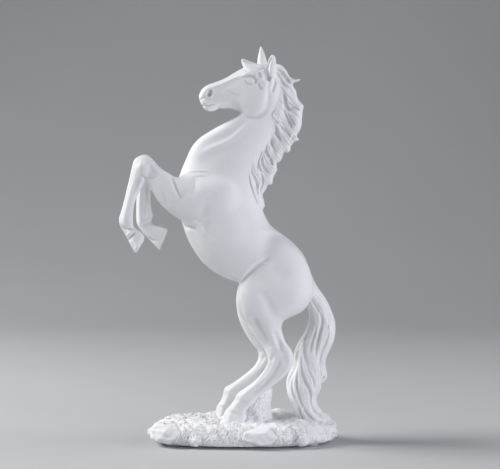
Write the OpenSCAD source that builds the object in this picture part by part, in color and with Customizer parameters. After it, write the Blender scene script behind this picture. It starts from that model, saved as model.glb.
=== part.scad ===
// Rearing horse ornament: resin castings, glued over steel wires and dowels, on a turf base with stick-on pads.
// The horse faces -X, its near (left) side is -Y, and the pads stand on Z = 0.

/* [Horse] */
// Height of the horse, from the ground under its hooves to its ear tips
horse_height = 300; // [270:1:330]
// Width across the ribs
rib_width = 54; // [48:0.5:60]
// Width of the neck behind the cheeks
throat_width = 21; // [18:0.5:24]
// Width of the head across the cheeks
cheek_width = 25; // [22:0.5:28]
// Distance between the middles of the two forelegs
fore_gap = 32; // [28:0.5:36]
// Distance between the middles of the two hind legs
hind_gap = 36; // [32:0.5:40]

/* [Hair] */
// Width of the tail at its widest
tail_width = 24; // [18:0.5:30]
// Number of locks round the tail
tail_locks = 9; // [6:1:12]
// Depth of the grooves between the tail's locks
tail_groove = 1.1; // [0.4:0.1:1.6]
// Width of the mane at its roots
mane_width = 13; // [10:0.5:16]
// Number of locks down the mane
mane_locks = 9; // [6:1:12]
// How far the gap between two locks cuts back from their tips
mane_notch = 3.5; // [2:0.5:6]

/* [Base] */
// Turf in front of the leading hoof
toe_margin = 51; // [30:1:70]
// Turf behind the foot of the tail
tail_margin = 6; // [3:0.5:12]
// Turf beside each hind hoof
side_margin = 17; // [12:0.5:26]
// Height of the ground under the hooves, above the base's underside
turf_height = 15; // [12:0.5:22]
// How much higher the turf stands along the off side
bank_height = 4; // [0:0.25:6]
// How far the tufts of grass stand up from the ground
tuft_height = 3; // [0.5:0.25:4]
// Distance from one tuft to the next
tuft_spacing = 27; // [20:1:40]
// How far the hooves and the tail's foot are set into the turf
hoof_sink = 2; // [1:0.25:4]
// Height of the grass mound that props the hind legs, above the ground
mound_height = 25; // [16:0.5:28]
// Length of the largest boulder on the rim
boulder_length = 26; // [18:0.5:30]
// Height of the largest boulder above the base's underside
boulder_height = 16.5; // [12:0.5:18]

/* [Pads] */
// Diameter of a stick-on pad
pad_diameter = 10; // [6:0.5:14]
// Thickness of a stick-on pad
pad_height = 2; // [1:0.25:4]
// Distance from the base's ends to the middle of a pad
pad_end_inset = 20; // [18:0.5:30]
// Distance from the base's sides to the middle of a pad
pad_side_inset = 21; // [19:0.5:26]

/* [Armature] */
// Diameter of the steel wire cast into a hind leg or the tail
wire_diameter = 3; // [2:0.1:3.6]
// How deep a wire goes into the base
wire_depth = 9; // [6:0.5:11]
// Diameter of a steel dowel
dowel_diameter = 4; // [3:0.1:5]
// Length of a steel dowel
dowel_length = 26; // [20:0.5:32]
// Glue gap round a wire or dowel
glue_gap = 0.1; // [0.05:0.01:0.2]

/* [Hidden] */

resin = "#e9eaee";
steel = "#9a9da3";
silicone = "#d5dade";

// The profile tables are drawn on squared paper, with this many squares from the ground to the ear tips.
paper_squares = 300;
draw_scale = horse_height / paper_squares;
ground_z = pad_height + turf_height;

// Each table row is one cross-section: a point on the front or upper line, the point across from it on the back
// or lower line, the half width there and the offset to the side. Points are [x, z] in squares.
// Trunk, from the neck root to the rump. Its half width is a share of half the rib width.
trunk_rows = [
    [-33, 209.5, 24.5, 193.5, 0.57, 0],
    [-37, 200, 25, 182, 0.72, 0],
    [-40, 188, 27, 172.5, 0.85, 0],
    [-39.5, 172.5, 30, 164, 0.94, 0],
    [-35.5, 156, 35, 156, 0.98, 0],
    [-30, 142, 43.5, 149.5, 1, 0],
    [-20, 127, 53, 142, 1, 0],
    [-6, 116.5, 61, 132.5, 0.98, 0],
    [11, 109.5, 65.5, 121.5, 0.96, 0],
    [24.5, 101.5, 69, 111.5, 0.92, 0],
    [39, 94, 70.5, 104, 0.78, 0],
    [50, 90, 67.5, 97.5, 0.48, 0]
];
// How much fuller each trunk row is towards the breast and belly (above 0) or towards the back (below 0).
trunk_fullness = [0.1, 0.1, 0.1, 0.08, 0.04, -0.05, -0.2, -0.34, -0.36, -0.3, -0.2, -0.1];
// Muscles that swell the trunk: the row, the turn round it from the breast or belly in degrees, how far each
// reaches in rows and in degrees, and its height in squares.
trunk_muscles = [
    [2, 80, 1.1, 28, 3.4],
    [4.2, 72, 1.4, 26, 2.2],
    [2, 0, 1.4, 40, 1.8],
    [7.6, 125, 1.8, 35, 1.8]
];
// Neck, from its root to the poll. Its half width runs from the trunk's (0) to the throat's (1).
neck_rows = [
    [-33, 209.5, 24.5, 193.5, 0, 0],
    [-29.5, 217.5, 28.5, 208.5, 0.34, 0],
    [-23, 225.5, 35, 222, 0.58, 0],
    [-12.5, 232.5, 41, 236, 0.74, 0],
    [-0.5, 239, 45, 250, 0.86, 0],
    [9, 244, 45.5, 263, 0.94, 0],
    [16.5, 249.5, 43, 274, 1, 0],
    [24.5, 258, 38, 278, 1, 0]
];
// Head, from the lips to the poll. Its half width is a share of half the cheek width.
head_rows = [
    [-23, 259.5, -21.5, 254, 0.36, 0],
    [-21, 264, -19, 250, 0.56, 0],
    [-17.5, 267.5, -15, 248, 0.62, 0],
    [-13, 269.5, -10.5, 248, 0.61, 0],
    [-7, 271.5, -4.5, 249.5, 0.59, 0],
    [-0.5, 274.4, 3, 249.5, 0.69, 0],
    [5.5, 278, 10, 247, 0.83, 0],
    [11.5, 281.2, 17, 244, 0.96, 0],
    [18, 283.7, 25, 246, 1, 0],
    [25, 285, 31.5, 252.5, 0.96, 0],
    [31.5, 284, 36, 260.5, 0.8, 0],
    [37, 280.5, 38.5, 269.5, 0.48, 0]
];
// Forelegs, from the shoulder to the sole. The half width is in squares, and the offset a share of half the gap.
near_fore_rows = [
    [-23, 191, -9, 161, 10, 0.81],
    [-32.5, 193.5, -18.5, 156, 11, 1],
    [-40.5, 195, -28.5, 157.5, 10.5, 1.06],
    [-47, 198.5, -39, 162.5, 9.6, 1.06],
    [-53.5, 203, -48, 169, 8.5, 1.06],
    [-58, 208, -55.5, 177, 7.4, 1.03],
    [-61.5, 211.5, -60.5, 186, 6.8, 1],
    [-65.5, 212.5, -63, 191.5, 7, 1],
    [-70, 211, -65, 191.5, 7, 1],
    [-73.5, 208, -65.5, 190, 6.4, 1],
    [-75.5, 201, -67, 187.5, 5.4, 1],
    [-77, 194, -68.5, 184.5, 4.8, 1],
    [-79, 186, -70.8, 181, 4.6, 1],
    [-81, 177.5, -73, 174.5, 4.6, 1],
    [-83, 170, -74.2, 167, 4.9, 1],
    [-85.3, 162.5, -74.4, 160.5, 5.6, 1],
    [-85, 158, -73.9, 156.5, 5.6, 1],
    [-83, 153.5, -71.8, 154, 5, 1],
    [-79.3, 147.5, -68, 151.5, 5.6, 1],
    [-76.3, 141.2, -65.6, 148.3, 6.4, 1],
    [-72.2, 134.2, -65.8, 144.5, 6.5, 1]
];
off_fore_rows = [
    [-22.5, 189.5, -9.5, 160.5, 10, 0.81],
    [-32.5, 192, -19.5, 155.5, 11, 1],
    [-40.5, 192.5, -29, 158, 10.5, 1.06],
    [-47, 195, -39, 163.5, 9.5, 1.06],
    [-52.5, 198.5, -47, 170, 8.4, 1.06],
    [-57.5, 202, -53, 177.5, 7.2, 1.06],
    [-60.5, 204, -57.5, 183, 6.8, 1.06],
    [-64.5, 204.5, -59, 186, 7, 1.03],
    [-68.5, 202, -60, 186.5, 6.8, 1],
    [-70.5, 197, -61, 186, 6.2, 1],
    [-72.7, 190.5, -62.3, 184, 5.4, 1],
    [-73.6, 183, -62.5, 180.5, 4.9, 1],
    [-74.1, 175, -62.4, 174, 4.8, 1],
    [-74.2, 168, -61.6, 167.5, 5, 1],
    [-74.2, 162, -60.5, 164.3, 5.6, 1],
    [-73.4, 157, -61.7, 159.5, 5.5, 1],
    [-70, 151.5, -60.4, 157.3, 5.1, 1],
    [-65.3, 146.3, -55, 155.5, 5.8, 1],
    [-60.5, 141.3, -50.2, 154, 6.5, 1],
    [-55.2, 135.6, -48.6, 152.2, 6.6, 1]
];
// Haunches, from the hip to the stifle. The last two columns are how far they reach out, as a share of half the
// rib width, and how far their inner sides keep from the middle plane, in squares.
near_haunch_rows = [
    [20, 124, 58, 121, 0.78, 0.5],
    [13.5, 116, 63, 105.5, 1.06, 0.5],
    [10.5, 107, 60.5, 94, 1.11, 2],
    [9.5, 98, 52.5, 87, 1.1, 4],
    [11, 88.5, 45, 81.5, 1.06, 6.5]
];
off_haunch_rows = [
    [20, 123.5, 58, 120.5, 0.78, 0.5],
    [13, 114, 63, 104, 1.06, 0.5],
    [9.5, 104.5, 60.5, 92, 1.11, 2],
    [8, 94.5, 52, 84, 1.1, 4],
    [8, 84, 43, 79, 1.06, 6.5]
];
// Hind legs, from the stifle to the ground, in the forelegs' columns.
near_shank_rows = [
    [14, 80, 43, 76, 9.2, 1],
    [19, 72, 44, 70.5, 8, 1],
    [25, 65, 46.5, 64, 7, 1],
    [29.5, 58.5, 50.5, 58, 6.6, 1],
    [32, 52, 52.5, 52.5, 6.8, 1],
    [31.5, 46.5, 51.5, 46, 6.4, 1],
    [28, 40.5, 46.5, 38.5, 5.8, 1],
    [21.5, 33.5, 37.5, 31, 5.2, 1],
    [14, 28, 29, 24.5, 5.1, 1],
    [8, 23.5, 23, 19, 5.8, 1],
    [5.5, 18.5, 19.5, 15, 5.6, 1],
    [2, 14, 15.5, 11, 5.2, 1],
    [-1.5, 10, 15, 7, 6.2, 1],
    [-3.5, 5, 15.5, 2.5, 7.2, 1],
    [-6, 0, 16.5, 0, 7.6, 1]
];
off_shank_rows = [
    [10.5, 75.5, 39.5, 73.5, 9.2, 1],
    [14.5, 67.5, 39, 67, 8, 1],
    [19.5, 60, 40.5, 60.5, 7, 1],
    [24, 54.5, 44.5, 54, 6.6, 1],
    [25, 49.5, 46, 48, 6.8, 1],
    [23, 43.5, 43.5, 41, 6.4, 1],
    [18, 38, 36.5, 33.5, 5.8, 1],
    [11, 32.5, 27.5, 27, 5.2, 1],
    [4, 27.5, 19, 22, 5.1, 1],
    [-2.5, 23.5, 13, 17.5, 5.8, 1],
    [-4, 17.5, 10.5, 13.5, 5.6, 1],
    [-6.5, 12, 7.5, 9.5, 5.2, 1],
    [-9, 8.5, 8.5, 6, 6.2, 1],
    [-10, 4, 9, 2, 7, 1],
    [-12.5, 0, 10, 0, 7.6, 1]
];
// Tail, from the dock to the ground. Its half width is a share of half the tail width.
tail_rows = [
    [58, 108.5, 67, 116, 0.45, 0],
    [60.5, 100, 72, 107, 0.6, 0],
    [63, 92.5, 78.5, 98, 0.7, 0],
    [65, 86, 83.5, 87.5, 0.8, 0],
    [64.5, 79, 86, 79.5, 0.88, 0],
    [61.5, 70.5, 86.5, 71.5, 0.95, 0],
    [57, 63, 85, 63.5, 1, 0],
    [53.5, 55, 81, 54.5, 1, 0],
    [53, 47, 79, 47, 1, 0],
    [50, 39.5, 79, 40.5, 1, 0],
    [47.5, 33.5, 77.5, 32, 1, 0],
    [47.5, 25.5, 75, 25, 1, 0],
    [49, 18, 71.5, 18, 1, 0],
    [51.5, 12.5, 72.5, 12, 1.04, 0],
    [53.5, 6, 76.5, 6.5, 1.15, 0],
    [55.5, 0, 81, 0, 1.2, 0]
];

// Mane, from the poll to the withers: the root point inside the neck, then the tip of the hair.
mane_rows = [
    [35.5, 275, 41, 287.5, 0.5, 0],
    [39, 269.5, 51, 281, 0.8, 0],
    [41, 263, 58.5, 273.5, 0.95, 0],
    [41, 257.5, 55, 268.5, 1, 0],
    [41, 252, 58, 261.5, 1, 0],
    [40.5, 246, 62, 252.5, 1, 0],
    [39.5, 240.5, 62, 243, 1, 0],
    [38, 234, 60.5, 233, 1, 0],
    [34, 227, 58, 225, 1, 0],
    [28.5, 219, 52.5, 216.5, 1, 0],
    [23, 211, 46.5, 209.5, 1, 0],
    [17, 202, 42, 200.5, 1, 0],
    [15.5, 192.5, 37, 190, 1, 0],
    [17, 183, 32.5, 180, 0.95, 0],
    [21, 175, 31.5, 172.5, 0.85, 0],
    [24, 169, 29.5, 165.5, 0.7, 0]
];
// Ears and forelock, from root to tip, with the half width and the offset in squares.
near_ear_rows = [
    [29.5, 275, 38, 275, 3, -6],
    [30.3, 280, 38.5, 281, 3.5, -7.5],
    [31.7, 285, 38.7, 285.5, 3.3, -9],
    [33.4, 289.2, 38, 289.4, 2.2, -10],
    [35.3, 291.6, 36.4, 291.6, 0.7, -10.5]
];
off_ear_rows = [
    [24.5, 278, 33.5, 277, 3, 5],
    [24, 284, 32.5, 283, 3.6, 6.5],
    [24, 289, 31.5, 288, 3.4, 8],
    [25, 294.5, 30, 293.5, 2.4, 9],
    [26.2, 300, 27.2, 300, 0.7, 9.5]
];
forelock_rows = [
    [27, 286, 25, 276, 4, 0],
    [22, 285.6, 18.5, 276.5, 4.6, 0],
    [17.5, 286.6, 13.5, 279.3, 3.8, -0.5],
    [14, 287.9, 11.5, 283, 2.4, -1],
    [11.3, 288.8, 10.9, 287.8, 0.6, -1.5]
];

// Smooth curve through the rows, with this many steps from each row to the next.
function row_at(rows, i) = rows[max(0, min(len(rows) - 1, i))];
function blend(a, b, c, d, t) =
    0.5 * (2 * b + (c - a) * t + (2 * a - 5 * b + 4 * c - d) * t * t + (3 * b - a - 3 * c + d) * t * t * t);
function refine(rows, steps) = [
    for (i = [0:len(rows) - 2])
        for (j = [0:steps - 1])
            blend(row_at(rows, i - 1), rows[i], rows[i + 1], row_at(rows, i + 2), j / steps),
    rows[len(rows) - 1]
];

// Rows in millimetres in the ornament's frame, from rows as drawn.
profile_shift = -1;
function px(x) = x * draw_scale + profile_shift;
function pz(z) = z * draw_scale + ground_z;
function placed(rows, wide, side) = [
    for (r = rows) [px(r[0]), pz(r[1]), px(r[2]), pz(r[3]), r[4] * wide, r[5] * side]
];
function haunch(rows, side) = [
    for (r = placed(rows, rib_width / 2, draw_scale))
        [r[0], r[1], r[2], r[3], (r[4] - r[5]) / 2, side * (r[4] + r[5]) / 2]
];
function middle(r) = [(r[0] + r[2]) / 2, r[5], (r[1] + r[3]) / 2];

neck_root = trunk_rows[0][4] * rib_width / 2;
trunk_steps = 2;
trunk = refine(placed(trunk_rows, rib_width / 2, 1), trunk_steps);
fullness = refine(trunk_fullness, trunk_steps);
neck_placed = [
    for (r = placed(neck_rows, 1, 1))
        [r[0], r[1], r[2], r[3], neck_root + (throat_width / 2 - neck_root) * r[4], r[5]]
];
neck_rings = refine(neck_placed, 2);
head_rings = refine(placed(head_rows, cheek_width / 2, 1), 2);
near_fore = placed(near_fore_rows, draw_scale, -fore_gap / 2);
off_fore = placed(off_fore_rows, draw_scale, fore_gap / 2);
near_hind_drawn = concat(
    haunch(near_haunch_rows, -1),
    placed(near_shank_rows, draw_scale, -hind_gap / 2)
);
off_hind_drawn = concat(
    haunch(off_haunch_rows, 1),
    placed(off_shank_rows, draw_scale, hind_gap / 2)
);
tail_drawn = placed(tail_rows, tail_width / 2, 1);
near_hind = sunk(near_hind_drawn);
off_hind = sunk(off_hind_drawn);
tail_rings = refine(sunk(tail_drawn), 2);

// The same rows with one more ring, set into the turf.
function sunk(rows) = let (r = rows[len(rows) - 1])
    concat(rows, [[r[0], r[1] - hoof_sink, r[2], r[3] - hoof_sink, r[4], r[5]]]);

// One ring of points round a row: an ellipse, fuller towards the row's first point when egg is above 0, and
// grooved between its locks.
function ring(r, sides, egg, locks, groove, turn) = let (
    c = middle(r),
    dx = (r[0] - r[2]) / 2,
    dz = (r[1] - r[3]) / 2
) [
    for (k = [0:sides - 1]) let (
        a = 360 * k / sides,
        g = 1 - groove / r[4] * (0.5 + 0.5 * cos(locks * a + turn))
    ) [c.x + dx * cos(a) * g, c.y + r[4] * sin(a) * (1 + egg * cos(a)) * g, c.z + dz * cos(a) * g]
];

// The trunk's rings: row i is as full as the table says, and its muscles push it out.
function bell(v, reach) = exp(-v * v / (reach * reach));
function muscle(row, a) = draw_scale * sum_of([
    for (m = trunk_muscles) m[4] * bell(row - m[0], m[2]) * bell(min(a, 360 - a) - m[1], m[3])
]);
function sum_of(list, i = 0) = i == len(list) ? 0 : list[i] + sum_of(list, i + 1);
function trunk_ring(i, sides) = let (
    r = trunk[i],
    c = middle(r),
    dx = (r[0] - r[2]) / 2,
    dz = (r[1] - r[3]) / 2
) [
    for (k = [0:sides - 1]) let (
        a = 360 * k / sides,
        g = 1 + muscle(i / trunk_steps, a) / norm([norm([dx, dz]) * cos(a), r[4] * sin(a)])
    ) [c.x + dx * cos(a) * g, c.y + r[4] * sin(a) * (1 + fullness[i] * cos(a)) * g, c.z + dz * cos(a) * g]
];

// Closed skin over a list of rings, each with the same number of points.
module skin(rings, middles) {
    n = len(rings[0]);
    m = len(rings);
    ahead = middles[1] - middles[0];
    facing = cross(rings[0][0] - middles[0], rings[0][floor(n / 4)] - middles[0]);
    right = facing * ahead > 0;
    sides = [
        for (i = [0:m - 2]) for (k = [0:n - 1]) let (
            a = i * n + k,
            b = i * n + (k + 1) % n,
            c = a + n,
            d = b + n
        ) each [[a, c, b], [b, c, d]]
    ];
    caps = [
        for (k = [0:n - 1])
            each [[m * n, k, (k + 1) % n], [m * n + 1, (m - 1) * n + (k + 1) % n, (m - 1) * n + k]]
    ];
    points = concat([for (r = rings) each r], [middles[0], middles[m - 1]]);
    faces = concat(sides, caps);
    polyhedron(points, [for (f = faces) right ? f : [f[0], f[2], f[1]]]);
}
module loft(rows, sides = 16, egg = 0, locks = 0, groove = 0, twist = 0) {
    rings = [for (i = [0:len(rows) - 1]) ring(rows[i], sides, egg, locks, groove, twist * i)];
    skin(rings, [for (r = rows) middle(r)]);
}

// Round rod along a list of points that bends in the profile plane.
module rod(points, diameter) {
    n = 10;
    last = len(points) - 1;
    rings = [
        for (i = [0:last]) let (
            t = points[min(last, i + 1)] - points[max(0, i - 1)],
            side = [t.z, 0, -t.x] / norm([t.x, t.z])
        ) [
            for (k = [0:n - 1]) let (a = 360 * k / n)
                points[i] + diameter / 2 * (side * cos(a) + [0, 1, 0] * sin(a))
        ]
    ];
    skin(rings, points);
}

// Whole shapes of the castings, before their joints are cut.
module trunk_shape() {
    skin([for (i = [0:len(trunk) - 1]) trunk_ring(i, 28)], [for (r = trunk) middle(r)]);
}
module neck_shape() {
    loft(neck_rings, 24, 0.1);
}
module head_shape() {
    loft(head_rings, 20, 0.05);
}
module near_hind_shape() {
    loft(near_hind);
}
module off_hind_shape() {
    loft(off_hind);
}
module tail_shape() {
    loft(tail_rings, 36, 0, tail_locks, tail_groove, 12);
}
module near_ear_shape() {
    loft(placed(near_ear_rows, draw_scale, draw_scale), 10);
}
module off_ear_shape() {
    loft(placed(off_ear_rows, draw_scale, draw_scale), 10);
}

// Steel inside the castings. The bores are the same shapes with the glue gap round them.
function wire_path(drawn, picks, top) = concat(
    [middle(drawn[len(drawn) - 1]) - [0, 0, wire_depth]],
    [for (i = picks) middle(drawn[i])],
    [top]
);
hind_picks = [19, 17, 15, 13, 11, 9, 7, 5, 3, 1];
near_leg_path = refine(wire_path(near_hind_drawn, hind_picks, [px(36), -0.3 * hind_gap, pz(126)]), 2);
off_leg_path = refine(wire_path(off_hind_drawn, hind_picks, [px(36), 0.3 * hind_gap, pz(126)]), 2);
tail_path = refine(wire_path(tail_drawn, [15, 14, 12, 10, 8, 6, 4, 2, 0], [px(54), 0, pz(122)]), 2);
module near_leg_rod(gap) {
    rod(near_leg_path, wire_diameter + 2 * gap);
}
module off_leg_rod(gap) {
    rod(off_leg_path, wire_diameter + 2 * gap);
}
module tail_rod(gap) {
    rod(tail_path, wire_diameter + 2 * gap);
}
module dowel(x, y, z, lean, gap) {
    translate([px(x), y, pz(z)])
        rotate([0, lean, 0])
            cylinder(d = dowel_diameter + 2 * gap, h = dowel_length, center = true, $fn = 48);
}
module neck_rod(gap) {
    dowel(-4, 0, 201.5, 15.5, gap);
}
module head_rod(gap) {
    dowel(21, 0, 247.5, 4, gap);
}
module near_fore_rod(gap) {
    dowel(-33, -0.47 * fore_gap, 176.5, -70, gap);
}
module off_fore_rod(gap) {
    dowel(-33, 0.47 * fore_gap, 175.5, -70, gap);
}

// Ground: an oval slab of turf with a rolled edge.
toe_x = off_hind[len(off_hind) - 1][0];
foot_x = tail_rings[len(tail_rings) - 1][2];
base_front = toe_x - toe_margin;
base_rear = foot_x + tail_margin;
base_length = base_rear - base_front;
base_x = (base_front + base_rear) / 2;
hoof_width = 2 * off_hind[len(off_hind) - 1][4];
base_width = hind_gap + hoof_width + 2 * side_margin;
// Rings of the slab from its underside to its top, as shares of its size and of the turf's height.
turf_rings = [
    [0.95, 0], [0.985, 0.14], [1, 0.35], [0.98, 0.55], [0.94, 0.74], [0.88, 0.88], [0.8, 0.96], [0.7, 1],
    [0.59, 1], [0.48, 1], [0.37, 1], [0.26, 1], [0.14, 1]
];
function oval(a, share) = [
    base_x + share * base_length / 2 * sign(cos(a)) * pow(abs(cos(a)), 0.8),
    share * base_width / 2 * sign(sin(a)) * pow(abs(sin(a)), 0.8)
];
// Rise of the bank at a point: it starts behind the off hooves and grows towards the tail.
function ramp(v, from, to) = let (t = max(0, min(1, (v - from) / (to - from)))) t * t * (3 - 2 * t);
function bank(p) = bank_height * ramp(p.y, 0.1 * base_width, 0.35 * base_width)
    * (0.2 + 0.8 * ramp(p.x - base_x, -0.1 * base_length, 0.2 * base_length));
// Rise of the tufts at a point: rows of them that wander both ways.
function tuft(p) = let (u = 360 * p.x / tuft_spacing, v = 360 * p.y / tuft_spacing)
    tuft_height * (0.5 + 0.5 * sin(u + 70 * sin(0.6 * v)) * cos(v + 60 * sin(0.55 * u)));
// The rim's plan wanders too: slow waves, and one tuft after another that lean out by part of their height.
tuft_count = round(PI * (base_length + base_width) / 2 / tuft_spacing);
function edge_wave(a) = 1 - 0.012 * (1 - cos(5 * a)) - 0.4 * tuft_height / base_width * (1 - cos(tuft_count * a));
module turf() {
    n = 72;
    rings = [
        for (r = turf_rings) [
            for (k = [0:n - 1]) let (a = 360 * k / n, p = oval(a, r[0] * edge_wave(a)))
                [p.x, p.y, pad_height + r[1] * (turf_height + (bank(p) + tuft(p)) * r[1] * r[1])]
        ]
    ];
    skin(rings, [for (r = turf_rings) [base_x, 0, pad_height + r[1] * turf_height]]);
}
// Grass mound under the fetlocks.
module mound() {
    h = mound_height / draw_scale;
    rows = [
        [0, -6, 38, -6, 25, 0],
        [4, 0, 36, 0, 22.5, 0],
        [9, 0.4 * h, 34.5, 0.4 * h, 18.5, 0],
        [15.5, 0.75 * h, 34.5, 0.75 * h, 13.5, 0],
        [22, h, 34, h, 8, 0]
    ];
    loft(placed(rows, draw_scale, 1), 18);
}
// Turf that rises round the foot of the tail.
module tail_foot() {
    rows = [
        [50, -4, 86, -4, 21, 0],
        [52, 0, 83, 0, 17, 0],
        [53.5, 5, 77.5, 5, 14, 0],
        [55, 10, 71, 10, 10, 0]
    ];
    loft(placed(rows, draw_scale, 1), 20);
}
// Boulder on the base's rim, at an angle round it, with its length and height as shares of the largest one's.
module boulder(angle, share, long, tall, sides) {
    p = oval(angle, share);
    radius = long * boulder_length / 2;
    height = tall * boulder_height;
    low = pad_height + 0.06 * height;
    top = pad_height + height;
    rows = [
        [p.x - 0.8 * radius, low, p.x + 0.8 * radius, low, 0.6 * radius, p.y],
        [p.x - radius, low + 0.5 * height, p.x + radius, low + 0.45 * height, 0.8 * radius, p.y],
        [p.x - 0.7 * radius, top, p.x + 0.75 * radius, top - 0.06 * height, 0.5 * radius, p.y]
    ];
    loft(rows, sides);
}

// Sub-parts.
module base() {
    color(resin)
        difference() {
            union() {
                turf();
                mound();
                tail_foot();
                boulder(219, 0.84, 0.77, 0.86, 7);
                boulder(286, 0.76, 1.04, 1.05, 8);
                boulder(244, 0.89, 0.38, 0.55, 6);
                boulder(310, 0.9, 0.34, 0.62, 6);
                boulder(20, 0.89, 0.35, 0.6, 6);
                boulder(75, 0.87, 0.58, 0.78, 7);
                boulder(128, 0.84, 0.8, 0.9, 7);
            }
            near_hind_shape();
            off_hind_shape();
            tail_shape();
            near_leg_rod(glue_gap);
            off_leg_rod(glue_gap);
            tail_rod(glue_gap);
        }
}
module pad(x, y) {
    r = pad_diameter / 2;
    color(silicone)
        translate([x, y, 0])
            rotate_extrude($fn = 48)
                polygon([[0, 0], [r * 0.86, 0], [r, pad_height * 0.4], [r, pad_height], [0, pad_height]]);
}
pad_y = base_width / 2 - pad_side_inset;
module pad_front_near() {
    pad(base_front + pad_end_inset, -pad_y);
}
module pad_front_off() {
    pad(base_front + pad_end_inset, pad_y);
}
module pad_rear_near() {
    pad(base_rear - pad_end_inset, -pad_y);
}
module pad_rear_off() {
    pad(base_rear - pad_end_inset, pad_y);
}
module torso() {
    color(resin)
        difference() {
            trunk_shape();
            neck_rod(glue_gap);
            near_fore_rod(glue_gap);
            off_fore_rod(glue_gap);
            near_leg_rod(glue_gap);
            off_leg_rod(glue_gap);
            tail_rod(glue_gap);
        }
}
module neck() {
    color(resin)
        difference() {
            neck_shape();
            head_shape();
            neck_rod(glue_gap);
            head_rod(glue_gap);
        }
}
module head() {
    color(resin)
        difference() {
            head_shape();
            head_rod(glue_gap);
        }
}
module near_ear() {
    color(resin)
        difference() {
            near_ear_shape();
            head_shape();
        }
}
module off_ear() {
    color(resin)
        difference() {
            off_ear_shape();
            head_shape();
        }
}
module forelock() {
    color(resin)
        difference() {
            loft(placed(forelock_rows, draw_scale, draw_scale), 10);
            head_shape();
            off_ear_shape();
            near_ear_shape();
        }
}
module mane() {
    fine = refine(placed(mane_rows, mane_width / 2, 1), 3);
    last = len(fine) - 1;
    notched = [
        for (i = [0:last]) let (
            r = fine[i],
            f = [r[0], r[1]],
            t = [r[2], r[3]],
            fade = 1 - ramp(i / last, 0.8, 0.95),
            cut = fade * mane_notch * (0.5 - 0.5 * cos(360 * mane_locks * i / last)) / norm(t - f)
        ) [r[0], r[1], r[2] + (r[0] - r[2]) * cut, r[3] + (r[1] - r[3]) * cut, r[4], r[5]]
    ];
    color(resin)
        difference() {
            loft(notched, 12, 0.55);
            neck_shape();
            trunk_shape();
            head_shape();
            near_ear_shape();
        }
}
module near_foreleg() {
    color(resin)
        difference() {
            loft(near_fore);
            trunk_shape();
            near_fore_rod(glue_gap);
        }
}
module off_foreleg() {
    color(resin)
        difference() {
            loft(off_fore);
            trunk_shape();
            off_fore_rod(glue_gap);
        }
}
module near_hindleg() {
    color(resin)
        difference() {
            near_hind_shape();
            trunk_shape();
            near_leg_rod(glue_gap);
        }
}
module off_hindleg() {
    color(resin)
        difference() {
            off_hind_shape();
            trunk_shape();
            off_leg_rod(glue_gap);
        }
}
module tail() {
    color(resin)
        difference() {
            tail_shape();
            trunk_shape();
            near_hind_shape();
            off_hind_shape();
            tail_rod(glue_gap);
        }
}
module near_leg_wire() {
    color(steel)
        near_leg_rod(0);
}
module off_leg_wire() {
    color(steel)
        off_leg_rod(0);
}
module tail_wire() {
    color(steel)
        tail_rod(0);
}
module neck_dowel() {
    color(steel)
        neck_rod(0);
}
module head_dowel() {
    color(steel)
        head_rod(0);
}
module near_foreleg_dowel() {
    color(steel)
        near_fore_rod(0);
}
module off_foreleg_dowel() {
    color(steel)
        off_fore_rod(0);
}

base();
pad_front_near();
pad_front_off();
pad_rear_near();
pad_rear_off();
torso();
neck();
head();
near_ear();
off_ear();
forelock();
mane();
near_foreleg();
off_foreleg();
near_hindleg();
off_hindleg();
tail();
near_leg_wire();
off_leg_wire();
tail_wire();
neck_dowel();
head_dowel();
near_foreleg_dowel();
off_foreleg_dowel();
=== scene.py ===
# %% [markdown]
# # Rearing horse ornament
#
# A white resin horse rears on its hind legs over a turf base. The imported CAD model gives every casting's place and
# size. This notebook models each casting again with its anatomy, hair and grass, in the same frame, and lights it.
#
# The sculptor's way is followed: rough forms are lofted (a profile carried along a path), pressed together as clay,
# worked with brushes, and then cast. The clay is a grid of distances to the surface, so pressing two forms together
# is arithmetic on whole arrays, and the seams between them melt.

# %% Load the frame
import math
import time

import bmesh
import bpy
import numpy as np
import openvdb as vdb

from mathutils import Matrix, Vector


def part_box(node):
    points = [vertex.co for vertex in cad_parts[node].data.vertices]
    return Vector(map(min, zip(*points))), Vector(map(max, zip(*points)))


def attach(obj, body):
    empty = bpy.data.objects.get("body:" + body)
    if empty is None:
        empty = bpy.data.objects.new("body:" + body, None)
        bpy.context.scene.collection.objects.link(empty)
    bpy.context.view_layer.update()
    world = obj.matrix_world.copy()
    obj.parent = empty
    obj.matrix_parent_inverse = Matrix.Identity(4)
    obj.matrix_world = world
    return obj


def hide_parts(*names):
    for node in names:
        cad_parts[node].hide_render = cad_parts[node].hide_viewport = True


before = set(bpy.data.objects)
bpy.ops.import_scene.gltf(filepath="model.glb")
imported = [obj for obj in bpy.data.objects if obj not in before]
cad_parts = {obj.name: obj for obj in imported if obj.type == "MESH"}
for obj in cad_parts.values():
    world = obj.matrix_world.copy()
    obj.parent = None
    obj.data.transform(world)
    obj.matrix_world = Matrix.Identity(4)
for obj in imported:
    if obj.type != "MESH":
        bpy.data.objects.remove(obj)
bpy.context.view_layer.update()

# %% [markdown]
# ## Measures
#
# Everything below is worked out in millimetres and written to Blender in metres. The horse is drawn in profile, with
# heights above the ground under its hooves, so the ground's height is read from the frame: the hind hooves' lowest
# point plus how deep they are set.

# %% Measures
MM = 0.001
HOOF_SINK = 2.0
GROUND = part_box("near_hindleg")[0][2] / MM + HOOF_SINK
PROFILE_SHIFT = -1.0
RIBS = 27.0
VOXEL = 0.6
print("ground under the hooves at", round(GROUND, 2), "mm")


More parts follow.
